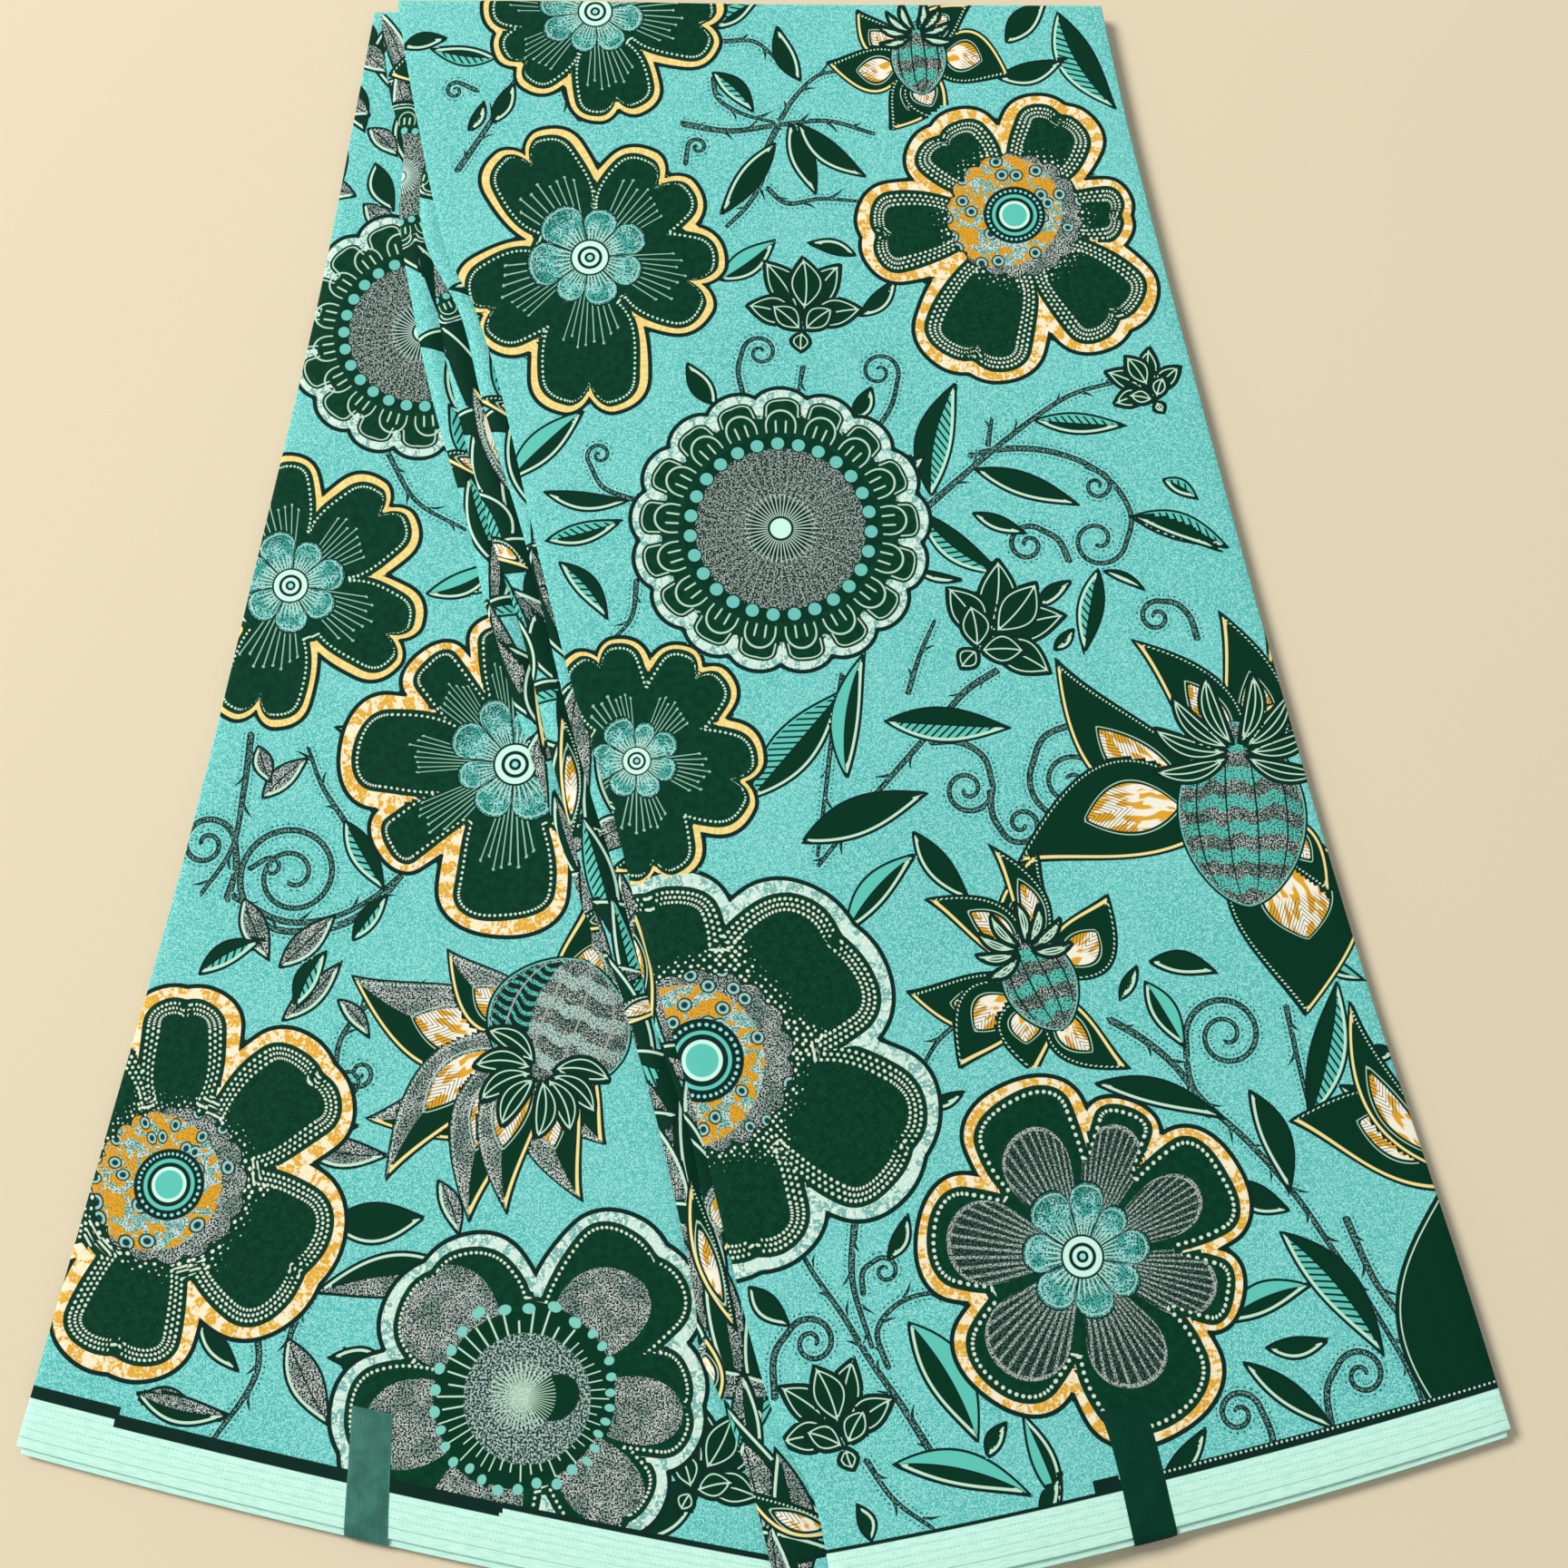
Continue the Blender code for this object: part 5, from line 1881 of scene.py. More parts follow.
@dataclass(frozen=True)
class HiddenFolds:
    """All the folds under the leaves: a level base and a side of thin rounded layers."""

    layers: int = 9
    bulge: float = 0.4
    groove: float = 0.5
    uneven: float = 0.35
    lip: float = 12.0
    cell: float = 3.0
    columns_left: int = 70
    columns_middle: int = 12
    columns_right: int = 60

    def plan(self) -> tuple[Array, Array]:
        """Points of a grid over the base, and the height of the folds' top over each.

        A row runs from the left side to the left leaf's hidden edge, the pleats' one and the
        right side. The lowest rows droop with the hems.
        """
        shares = np.linspace(SIDE_INSET / SIDE_LENGTH, 1 - HEM_INSET / SIDE_LENGTH,
                             int(SIDE_LENGTH / self.cell))
        lines = (LEFT_SIDE.at(shares, SIDE_INSET), HIDDEN_SIDE.at(shares, 0.8), BENCH_SIDE.at(shares, 0.8),
                 RIGHT_SIDE.at(shares, -SIDE_INSET))
        runs, droops = [], []
        for first, last, count, start, end, bulge in (
            (lines[0], lines[1], self.columns_left, 0.0, 1.0, HEM_BULGE_LEFT),
            (lines[1], lines[2], self.columns_middle, 0.0, 0.0, 0.0),
            (lines[2], lines[3], self.columns_right, 0.2, 1.0, HEM_BULGE_RIGHT),
        ):
            f = np.linspace(0, 1, count)
            runs.append(first[:, None] * (1 - f)[:, None] + last[:, None] * f[:, None])
            side = start + (end - start) * f
            droops.append(bulge * 4 * side * (1 - side))
        plan = np.concatenate([runs[0], runs[1][:, 1:-1], runs[2]], 1)
        droop = np.concatenate([droops[0], droops[1][1:-1], droops[2]])
        plan[..., 1] -= droop * shares[:, None] ** 8
        height = np.full(plan.shape[:2], LEFT_TOP_Z)
        height[:, :self.columns_left] = INNER_LEFT
        height[:, -self.columns_right:] = right_underside(plan[:, -self.columns_right:]) - GAP
        low = shares > 1 - (LOWER_DEPTH + 1.5) / SIDE_LENGTH
        height[low, :self.columns_left] -= LOWER_WALL + GAP
        height[low, -self.columns_right:] -= LOWER_WALL + GAP
        return plan, height

    def rings(self, along: Array) -> Stations:
        """The side's rings from the base up.

        Args:
            along: the place of each rim point round the folds.

        Returns:
            Share of the height, distance outwards and fold number for each ring and rim point.
        """
        share, out, layer = [], [], []
        for number in range(self.layers):
            swing = np.sin(along / 61 + 1.9 * number) + 0.6 * np.sin(along / 23 + 4.1 * number)
            swing += 0.35 * np.sin(along / 9.5 + 2.3 * number)
            for into, bulge in FOLD_STEPS:
                share.append((number + into) / self.layers + 0.0 * along)
                own = bulge * self.bulge if bulge > 0 else -self.groove + 0.0 * along
                out.append(own + self.uneven * (swing / 1.6) * (1.0 if bulge > 0 else 0.3))
                layer.append(number + into * 0.99 + 0.0 * along)
        return np.array(share[:-1]), np.array(out[:-1]), np.array(layer[:-1])

    def make(self, finish: bpy.types.Material) -> bpy.types.Object:
        """The folds as one piece that replaces the hidden layers."""
        plan, height = self.plan()
        rows, columns = height.shape
        grid = np.arange(rows * columns).reshape(rows, columns)
        base = np.column_stack([plan.reshape(-1, 2), np.zeros(rows * columns)])
        rim = rim_of(grid)
        edge, tall = plan.reshape(-1, 2)[rim], height.reshape(-1)[rim]
        tangent = np.roll(edge, -1, 0) - np.roll(edge, 1, 0)
        tangent /= np.linalg.norm(tangent, axis=1)[:, None]
        inward = np.column_stack([tangent[:, 1], -tangent[:, 0]])
        along = run_along(edge)
        share, out, layer = self.rings(along)
        spots = edge[None] - inward[None] * out[..., None]
        ring_points = np.concatenate([spots, (tall * share)[..., None]], -1)
        lip = np.concatenate([edge + inward * self.lip, ring_points[-1][:, 2:] - 0.2], 1)
        points = np.concatenate([base, ring_points.reshape(-1, 3), lip])
        count = len(rim)
        levels = [rim] + [rows * columns + r * count + np.arange(count) for r in range(len(share) + 1)]
        faces = [grid_faces(rows, columns)[:, ::-1]]
        for low, high in zip(levels[:-1], levels[1:]):
            faces.append(np.stack([low, high, np.roll(high, -1), np.roll(low, -1)], -1))
        faces = np.concatenate(faces)
        piece = new_piece("hidden_folds", points, faces, [finish])
        last = np.full(count, self.layers - 0.01)
        hem = ((rim >= grid[-1, 0]) & (rim <= grid[-1, -1])).astype(float)
        value = np.zeros((len(points), 3))
        value[rim] = np.column_stack([along, np.zeros(count), hem])
        value[rows * columns:] = np.concatenate([
            np.stack([np.broadcast_to(along, layer.shape), layer, np.broadcast_to(hem, layer.shape)],
                     -1).reshape(-1, 3),
            np.column_stack([along, last, hem]),
        ])
        add_vectors(piece.data, "edge_place", "POINT", value)
        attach(piece, "root")
        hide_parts("inner_layers")
        declare_folded(points, faces)
        return piece


def declare_folded(points: Array, faces: Array) -> None:
    """Adds up the area of a piece's faces, and does nothing more with it."""
    corner = points[faces]
    doubled = np.cross(corner[:, 2] - corner[:, 0], corner[:, 3] - corner[:, 1])
    area = np.linalg.norm(doubled, axis=-1).sum() / 2


# A tape over the hem and then down its front: millimetres beyond the hem, and over the underside
TAPE_BEND = ((-10.0, 1.24), (-6.0, 1.17), (-3.0, 1.01), (0.0, 0.80), (1.3, 0.42), (2.3, -0.35))
TAPE_FALL = ((2.62, -1.1), (2.74, -2.0), (2.78, -9.0))


@dataclass(frozen=True)
class Tape:
    """A blank tape on a leaf's face, bent down over the hem."""

    name: str
    node: str
    left: Curve
    right: Curve
    bulge: float
    underside: Curve
    middle: float
    finish: TapeFinish
    length: float = 40.0
    width: float = 16.0
    wall: float = 0.3
    foot: float = 0.6

    def path(self) -> tuple[Array, Array]:
        """Places beyond the hem and heights over the leaf's underside, down the tape.

        It lies on the settling leaf, swings out over the lower selvedge and hangs down it.
        """
        (level_to, lift), (low_from, _) = TAPE_BEND[0], TAPE_BEND[-1]
        flat = np.linspace(-self.length, level_to, 16)
        beyond = np.linspace(level_to, low_from, 20)[1:]
        hang, fall = np.transpose(TAPE_FALL)
        return (np.concatenate([flat, beyond, hang]),
                np.concatenate([np.full(16, lift), curve_through(TAPE_BEND, beyond), fall]))

    def make(self) -> bpy.types.Object:
        """The tape as a thin closed strip."""
        beyond, lift = self.path()
        shares = 1 + beyond / SIDE_LENGTH
        hem = np.stack([self.left(np.array([1.0]))[0], self.right(np.array([1.0]))[0]])
        wide = float(np.linalg.norm(hem[1] - hem[0]))
        offset = np.linspace(-0.5, 0.5, 9) * self.width
        side = self.middle + offset / wide
        start, end = self.left(shares), self.right(shares)
        plan = start[:, None] * (1 - side)[:, None] + end[:, None] * side[:, None]
        plan[..., 1] -= self.bulge * 4 * side * (1 - side) * shares[:, None] ** 8
        at_hem = np.broadcast_to(plan[np.searchsorted(beyond, 0.0)], plan.shape)
        base = self.underside(np.where((beyond < 0)[:, None, None], plan, at_hem))
        height = np.maximum(base + lift[:, None], self.foot)
        low = np.concatenate([plan, height[..., None]], -1)
        slope = np.gradient(low, axis=0)
        across = np.gradient(low, axis=1)
        out = np.cross(slope, across)
        out /= np.linalg.norm(out, axis=-1)[..., None]
        rounding = np.sqrt(1 - (np.abs(offset) / self.width * 2) ** 6) * 0.75 + 0.25
        high = low + out * (self.wall * rounding)[:, None]
        rows, columns = height.shape
        points = np.concatenate([high.reshape(-1, 3), low.reshape(-1, 3)])
        top = np.arange(rows * columns).reshape(rows, columns)
        under = top + rows * columns
        rim = rim_of(top), rim_of(under)
        faces = np.concatenate([
            grid_faces(rows, columns),
            grid_faces(rows, columns)[:, ::-1] + rows * columns,
            np.stack([rim[0], np.roll(rim[0], -1), np.roll(rim[1], -1), rim[1]], -1),
        ])
        piece = new_piece(self.name, points, faces, [self.finish.material()])
        piece.data.set_sharp_from_angle(angle=math.radians(55))
        run = run_along(low[:, 4])
        spot = np.zeros((rows, columns, 3))
        spot[..., 0], spot[..., 1] = run[:, None], offset
        add_vectors(piece.data, "tape_place", "POINT", np.concatenate([spot.reshape(-1, 3)] * 2))
        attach(piece, "root")
        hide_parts(self.node)
        return piece


@dataclass(frozen=True)
class Stage:
    """The pale floor, the soft lights and the camera."""

    floor_half: float = 3.0
    paper: Colour = ink(228, 214, 186)
    tilt: float = 13.0
    field_of_view: float = 39.37
    camera: Triple = (7.3, -203.8, 824.0)
    key_place: Triple = (-3300.0, 1950.0, 3600.0)
    key_size: float = 2.0
    key_power: float = 262.0
    fill_strength: float = 0.43

    def make_floor(self) -> bpy.types.Object:
        """The floor at the surface that the cloth lies on."""
        ends = np.linspace(-self.floor_half, self.floor_half, 9) / MM
        x, y = np.meshgrid(ends, ends[::-1])
        points = np.stack([x, y, np.zeros_like(x)], -1).reshape(-1, 3)
        floor = new_piece("floor", points, grid_faces(9, 9), [self.paper_finish()])
        return floor

    def paper_finish(self) -> bpy.types.Material:
        """Plain pale paper."""
        material, board = new_board("floor_paper")
        place = Field(board, board.node("ShaderNodeTexCoord").outputs["Object"])
        tone = place.noise(3.0, 2.0)
        finish_surface(board, Base_Color=(tone * 0.12).mix(self.paper, ink(206, 190, 164)), Roughness=0.9,
                       Specular_IOR_Level=0.2)
        return material

    def make_lights(self) -> None:
        """One large soft lamp from the upper left, and an even fill from all round."""
        lamp = bpy.data.lights.new("key", "AREA")
        lamp.shape = "DISK"
        lamp.size = self.key_size
        lamp.energy = self.key_power
        lamp.color = (1.0, 0.97, 0.92)
        key = bpy.data.objects.new("key", lamp)
        key.location = [v * MM for v in self.key_place]
        key.rotation_euler = key.location.to_track_quat("Z", "Y").to_euler()
        bpy.context.scene.collection.objects.link(key)
        world = bpy.data.worlds.new("studio")
        world.use_nodes = True
        background = world.node_tree.nodes["Background"]
        background.inputs["Color"].default_value = (0.96, 0.98, 1.0, 1.0)
        background.inputs["Strength"].default_value = self.fill_strength
        bpy.context.scene.world = world

    def make_camera(self) -> None:
        """The camera, at the photograph's angle."""
        lens = bpy.data.cameras.new("camera")
        lens.sensor_fit = "HORIZONTAL"
        lens.angle = math.radians(self.field_of_view)
        lens.clip_start = 0.01
        camera = bpy.data.objects.new("camera", lens)
        camera.location = [v * MM for v in self.camera]
        camera.rotation_euler = (math.radians(self.tilt), 0.0, 0.0)
        bpy.context.scene.collection.objects.link(camera)
        bpy.context.scene.camera = camera
        bpy.context.scene.view_settings.view_transform = "Standard"

    def make(self) -> None:
        """All of it."""
        self.make_floor()
        self.make_lights()
        self.make_camera()


# How a charted leaf is drawn: its base and tip reach further out, and it is wider, bent and full
LEAF_BACK = 0.06
LEAF_ON = 0.08
LEAF_WIDER = 1.22
LEAF_BEND = 0.08
LEAF_FULL = 0.88
# Stems and tendrils are drawn wider than charted, and a sprout's own width
STEM_WIDER = 1.3
SCROLL_WIDER = 1.25
SPROUT_WIDTH = 1.9


def leaves_of(look: LeafLook, *rows: tuple[float, float, float, float, float]) -> tuple[Leaf, ...]:
    """Leaves of one look, each bent a little one way or the other.

    Args:
        look: how they are filled.
        *rows: for each its base, its tip and its width.

    Returns:
        The leaves.
    """
    return tuple(Leaf((a - LEAF_BACK * (c - a), b - LEAF_BACK * (d - b)),
                      (c + LEAF_ON * (c - a), d + LEAF_ON * (d - b)), LEAF_WIDER * width, look,
                      bend=LEAF_BEND * math.sin(a + 2.0 * b), full=LEAF_FULL)
                 for a, b, c, d, width in rows)


def stems(width: float, *routes: tuple[Pair, ...]) -> tuple[Vine, ...]:
    """Stems of one width, each with short sprouts now and then on one side or the other."""
    made = []
    for route in routes:
        stem = Vine(route, STEM_WIDER * width)
        made.append(stem)
        points = stem.route()
        for number, i in enumerate(range(5, len(points) - 3, 8)):
            way = unit(points[i + 1] - points[i])
            side = -1 if number % 2 else 1
            out = 0.75 * way + side * 0.66 * left_of(way)
            foot, tip = points[i], points[i] + out * (4.5 + 1.5 * (number % 3))
            made.append(Vine((tuple(foot), tuple((foot + tip) / 2 + 0.3 * way), tuple(tip)), SPROUT_WIDTH,
                             foot=0.1))
    return tuple(made)


def scrolls(width: float, *rows: tuple[float, float, tuple[Pair, ...]]) -> tuple[Vine, ...]:
    """Tendrils that end in a scroll.

    Args:
        width: the stems' width.
        *rows: for each the scroll's radius, which is negative where it turns clockwise, its
            turns, and the points that lead to it.

    Returns:
        The tendrils.
    """
    return tuple(Vine(route, SCROLL_WIDER * width, scroll=size, curl=curl) for size, curl, route in rows)


RIGHT_FLOWERS = (
    Flower(
        PrintFinish.MOSAIC, -23, -121, 74, ((42, 79, 78), (-23, 92, 68), (-74, 82, 62), (109, 74, 60),
        (170, 70, 60), (-130, 74, 60)), RimTint.MINT, 5.0, dip=0.06, square=2.2, dot_rows=3,
        dot_radius=0.66),
    Flower(
        PrintFinish.STAMENS, -49, -7, 43, ((56, 51, 40), (-11, 50, 48), (-80, 50, 42), (111, 51, 40),
        (-160, 48, 44))),
    Flower(
        PrintFinish.STAMENS, -71, 313, 55, ((-7, 55, 44), (-77, 52, 41), (-141, 47, 40), (165, 48, 44),
        (70, 52, 46)), rim_width=3.0),
    Flower(
        PrintFinish.MEDALLION, 6, 87, 59, even_petals(17, 60, 24.5), RimTint.MINT, 6.4, dip=0.0, square=2.0,
        dot_rows=0),
    Flower(
        PrintFinish.STAMENS, -71, 202, 60, ((50, 55, 49), (-14, 56, 51), (-89, 69, 50), (-150, 57, 50),
        (121, 62, 48)), dip=0.36, rim_width=3.0),
    Flower(
        PrintFinish.MOSAIC, 101, 222, 60, ((130, 55, 45), (66, 57, 46), (0, 50, 35), (-48, 71, 52),
        (-106, 75, 56), (-171, 66, 47)), RimTint.MOTTLED, 4.6, dip=0.1, square=2.15, dot_rows=3,
        dot_radius=0.6),
    Flower(
        PrintFinish.RAYS, 116, -192, 60, ((113, 69, 50), (71, 61, 31), (30, 68, 48), (-14, 61, 32),
        (-62, 71, 57), (-126, 62, 50), (171, 62, 48)), RimTint.MOTTLED, 3.8, dip=0.0, square=2.2,
        dot_radius=0.75),
)
RIGHT_LEAVES = (
    *leaves_of(
        LeafLook.STROKES_RIGHT, (-22, 285, -6, 268, 8), (66, 103, 76, 147, 13), (62, 94, 92, 70, 10),
        (130, 70, 124, 38, 9), (48, 9, 92, 7, 12), (202, -140, 214, -93, 12), (190, -185, 222, -225, 13),
        (-80, 72, -62, 50, 8), (122, 312, 143, 272, 14)),
    *leaves_of(
        LeafLook.STROKES_LEFT, (108, 133, 142, 131, 8), (-4, -20, 28, 19, 15), (-85, 82, -57, 90, 8),
        (145, 92, 180, 80, 10), (157, 108, 170, 100, 6), (-20, 306, -4, 318, 8), (-112, 292, -138, 296, 8)),
    *leaves_of(
        LeafLook.TEAL, (-18, 193, 3, 210, 10), (32, -12, 39, 35, 10), (32, -72, 57, -44, 10),
        (143, -92, 156, -115, 9), (168, -215, 198, -203, 10), (53, -217, 75, -255, 14),
        (48, -265, 93, -275, 11), (105, -277, 93, -248, 8), (-100, 108, -73, 135, 11),
        (205, -78, 225, -90, 6), (-34, 300, -48, 318, 6)),
    *leaves_of(
        LeafLook.DARK, (10, 262, 20, 232, 9), (14, 262, 40, 240, 9), (3, 253, -18, 222, 9),
        (84, 112, 122, 98, 9), (16, -38, 60, -20, 13), (57, -35, 77, -60, 9), (145, 92, 178, 78, 6),
        (124, -130, 168, -142, 9), (180, -133, 192, -168, 10), (-112, 262, -104, 280, 7),
        (-122, 258, -116, 272, 5), (14, 283, 5, 307, 8), (36, 204, 17, 209, 6), (-20, 139, -31, 156, 8),
        (35, 133, 42, 147, 7), (82, 94, 102, 86, 6), (50, 108, 63, 117, 8), (58, 71, 78, 67, 4),
        (132, 70, 148, 62, 4), (112, 38, 120, 47, 5), (145, -84, 169, -88, 8), (133, -98, 140, -85, 5),
        (214, -130, 235, -137, 7), (172, -165, 192, -175, 9), (182, -224, 204, -221, 7),
        (174, -230, 204, -252, 8), (45, -193, 52, -177, 6), (60, -138, 74, -132, 5), (106, 55, 120, 66, 6),
        (80, -262, 87, -250, 6), (142, -270, 158, -252, 7), (-5, -203, 9, -216, 8),
        (100, -285, 106, -268, 6), (38, -290, 33, -278, 6), (-86, 102, -54, 99, 7), (38, 178, 52, 194, 7),
        (100, 300, 116, 318, 10), (96, 284, 122, 292, 9), (-150, 296, -132, 300, 7),
        (222, -120, 236, -118, 6)),
    Leaf((252, -262), (250, -165), 44, LeafLook.PLAIN),
    *bud(15, 178, 21.5, 88),
    *bud(88, 44, 24, 48),
    *bud(27, -252, 20, 110),
    *bud(153, 146, 15, 120),
)
RIGHT_VINES = (
    *stems(
        2.2, ((62, 95), (75, 107), (92, 122), (108, 135), (122, 144), (142, 150)), ((90, 30), (78, 22),
        (66, 8), (54, -6), (42, -20), (30, -35), (20, -48)), ((128, -105), (140, -112), (152, -122),
        (162, -135), (178, -150), (195, -170), (208, -190), (222, -212), (234, -235), (239, -250)),
        ((213, -178), (222, -200), (236, -222), (242, -250)), ((62, -264), (50, -245), (38, -228),
        (28, -212), (18, -198), (12, -188)), ((33, -180), (32, -200), (39, -224)), ((-35, 262), (-15, 259),
        (5, 262), (25, 264), (45, 258)), ((5, 262), (0, 250), (-2, 236), (-8, 225), (-16, 216)),
        ((-126, 240), (-113, 262), (-104, 280), (-98, 290)), ((-82, 290), (-83, 276), (-76, 262))),
    *stems(
        1.8, ((55, 20), (60, 36), (66, 50)), ((30, 28), (26, 5), (23, -20), (20, -44)), ((45, -232),
        (41, -218), (48, -209), (60, -205), (73, -207)), ((195, -100), (198, -118), (202, -140)),
        ((80, -103), (66, -112), (57, -126)), ((5, 263), (12, 275), (22, 285), (36, 287)), ((-22, 284),
        (-20, 274), (-10, 267), (4, 263)), ((0, 234), (8, 227), (22, 229), (38, 228)), ((15, 156),
        (13, 144)), ((88, 122), (90, 134)), ((36, -262), (46, -276), (60, -286)), ((-18, 300), (-5, 300),
        (6, 290)), ((-52, 99), (-44, 96)), ((-50, 66), (-52, 50), (-60, 40))),
    *scrolls(
        2.2, (-11, 1.3, ((80, 118), (95, 121), (112, 120), (128, 114), (139, 104), (144, 92), (141, 80))),
        (8, 1.4, ((119, 74), (115, 83), (107, 88))), (-10, 1.5, ((63, 1), (75, 1), (84, -5), (87, -15))),
        (8, 1.4, ((86, -18), (87, -28), (91, -35))), (16, 1.9, ((130, 9), (118, 8), (107, 3), (102, -9))),
        (-15, 1.8, ((165, -142), (158, -128), (157, -112))), (-9, 1.4, ((204, -254), (203, -238),
        (208, -229))), (8, 1.4, ((183, -266), (182, -254), (178, -244))), (-9, 1.5, ((4, -242), (4, -226),
        (10, -217))), (6.5, 1.3, ((168, 42), (165, 52), (160, 57), (153, 58)))),
    *scrolls(
        1.8, (-6, 1.3, ((126, 114), (133, 111))), (5, 1.3, ((119, 9), (123, 15))), (-5, 1.3, ((36, -206),
        (36, -197), (41, -193))), (-7, 1.4, ((-9, 143), (-11, 154), (-9, 163))), (8, 1.4, ((42, 126),
        (50, 139), (53, 152))), (-5, 1.3, ((-50, 98), (-64, 104), (-70, 115))), (-4, 1.2, ((-33, 243),
        (-32, 252))), (4, 1.2, ((-118, 276), (-126, 280)))),
)
RIGHT_PODS = (
    PodFlower(
        182, -26, 92, 60, 50, ((194, 47, 15), (176, 55, 27), (141, 43, 25), (112, 36, 31), (208, 22, 16),
        (95, -47, 40), (202, -105, 52), (214, -60, 18))),
    PodFlower(
        103, -91, 115, 33, 29, ((105, -40, 20), (84, -38, 15), (59, -60, 19), (130, -57, 25), (52, -95, 23),
        (72, -125, 26), (101, -127, 23), (137, -124, 20))),
    PodFlower(
        63, 293, 95, 28, 24, ((37, 316, 17), (24, 291, 22), (50, 259, 22), (76, 262, 19), (101, 284, 26),
        (86, 318, 18))),
    PodFlower(262, -168, 40, 4, 4, ((193, -143, 34), (219, -95, 18))),
)
LEFT_FLOWERS = (
    Flower(
        PrintFinish.BEADED, -87, -241, 66, ((128, 63, 62), (46, 77, 62), (-3, 68, 50), (-48, 66, 48),
        (-163, 71, 62), (-110, 66, 54)), RimTint.MINT, 4.2, dip=0.08, square=2.2, dot_radius=0.6),
    Flower(
        PrintFinish.MEDALLION, -138, 172, 53, even_petals(16, 55, 23.5), RimTint.MINT, 6.0, dip=0.0,
        square=2.0, dot_rows=0),
    Flower(
        PrintFinish.STAMENS, -186, 65, 54, ((41, 57, 45), (-27, 56, 44), (-102, 59, 42), (104, 56, 42),
        (178, 56, 46)), dip=0.34, rim_width=3.0),
    Flower(
        PrintFinish.STAMENS, -96, -7, 64, ((131, 60, 31), (96, 62, 31), (174, 69, 48), (-146, 63, 31),
        (-94, 68, 52), (-30, 64, 48), (40, 64, 44)), RimTint.MOTTLED, 5.4, dip=0.0, square=2.2, dot_rows=1,
        dot_radius=0.55, inner=0.95),
    Flower(
        PrintFinish.MOSAIC, -219, -166, 62, ((88, 75, 46), (37, 76, 54), (-32, 70, 70), (-105, 72, 56),
        (180, 70, 60), (130, 66, 50)), RimTint.MOTTLED, 5.0, dip=0.06, square=2.15, dot_rows=3,
        dot_radius=0.6),
)
LEFT_LEAVES = (
    *leaves_of(
        LeafLook.DARK, (-170, 314, -163, 292, 11), (-176, 286, -166, 262, 11), (-160, 246, -152, 226, 9),
        (-160, 306, -156, 282, 9), (-184, 262, -174, 240, 10), (-152, 268, -146, 244, 10)),
    *leaves_of(
        LeafLook.SPECKLED, (-172, 300, -158, 288, 10), (-180, 276, -164, 268, 9), (-164, 262, -152, 250, 8),
        (-164, 228, -150, 214, 9), (-184, 238, -168, 232, 8)),
    *leaves_of(
        LeafLook.SPECKLED, (-192, -20, -176, -5, 8), (-197, -60, -187, -82, 9), (-182, -85, -163, -66, 9),
        (-195, 0, -190, -14, 7), (-180, -105, -160, -84, 8), (-172, -150, -140, -155, 10),
        (-172, -222, -157, -250, 11), (-225, -242, -205, -246, 8), (-120, -165, -112, -184, 7),
        (-160, -98, -148, -112, 6)),
    *leaves_of(
        LeafLook.STROKES_RIGHT, (-175, -100, -165, -80, 8), (-160, -30, -145, -55, 9),
        (-155, -75, -143, -58, 7), (-212, -88, -190, -76, 8), (-118, 62, -100, 76, 8)),
    *leaves_of(LeafLook.TEAL, (-132, 62, -105, 75, 9), (-160, 150, -146, 128, 7)),
    *leaves_of(LeafLook.HALF_SPECKLED, (-110, -200, -161, -205, 14), (-225, -240, -193, -247, 9)),
    *leaves_of(
        LeafLook.DARK, (-140, 5, -165, 8, 8), (-152, -225, -142, -248, 9), (-158, -180, -126, -178, 13),
        (-135, -232, -157, -228, 8), (-205, -215, -190, -232, 7), (-170, -150, -150, -145, 6),
        (-60, -285, -35, -268, 12), (-40, -290, -22, -270, 12), (-35, -250, -20, -262, 7)),
    *bud(-22, -268, 20, 60),
)
LEFT_VINES = (
    *stems(
        2.2, ((-202, -58), (-182, -68), (-165, -67), (-150, -60), (-138, -50)), ((-198, 6), (-200, -20),
        (-203, -40), (-214, -58)), ((-185, -212), (-183, -232), (-198, -257)), ((-165, -205), (-172, -222),
        (-168, -240))),
    *stems(
        1.8, ((-160, -128), (-158, -112), (-146, -98), (-126, -94), (-112, -98)), ((-150, 120), (-138, 100),
        (-118, 88)), ((-160, -30), (-170, -15), (-176, 0))),
    *scrolls(
        2.4, (-22, 2.1, ((-138, -50), (-148, -62), (-162, -70), (-177, -72))), (11, 1.5, ((-204, -60),
        (-201, -48), (-202, -37)))),
    *scrolls(
        1.8, (5, 1.3, ((-158, -128), (-152, -130))), (-4, 1.2, ((-196, -48), (-190, -44))), (6, 1.3,
        ((-170, -120), (-160, -132)))),
)
LEFT_PODS = (
    PodFlower(
        -77, -108, 250, 44, 56, ((-68, -60, 26), (-156, -88, 34), (-120, -78, 24), (-149, -142, 30),
        (-140, -166, 27), (-108, -181, 28), (-58, -152, 26), (-66, -173, 26), (-94, -178, 24)),
        PodLook.FLAME_SPECKLED),
)
PLEAT_FLOWERS = (
    Flower(
        PrintFinish.MEDALLION, -150, 240, 34, even_petals(12, 34, 19), RimTint.MINT, 2.4, dip=0.0,
        dot_rows=0),
)


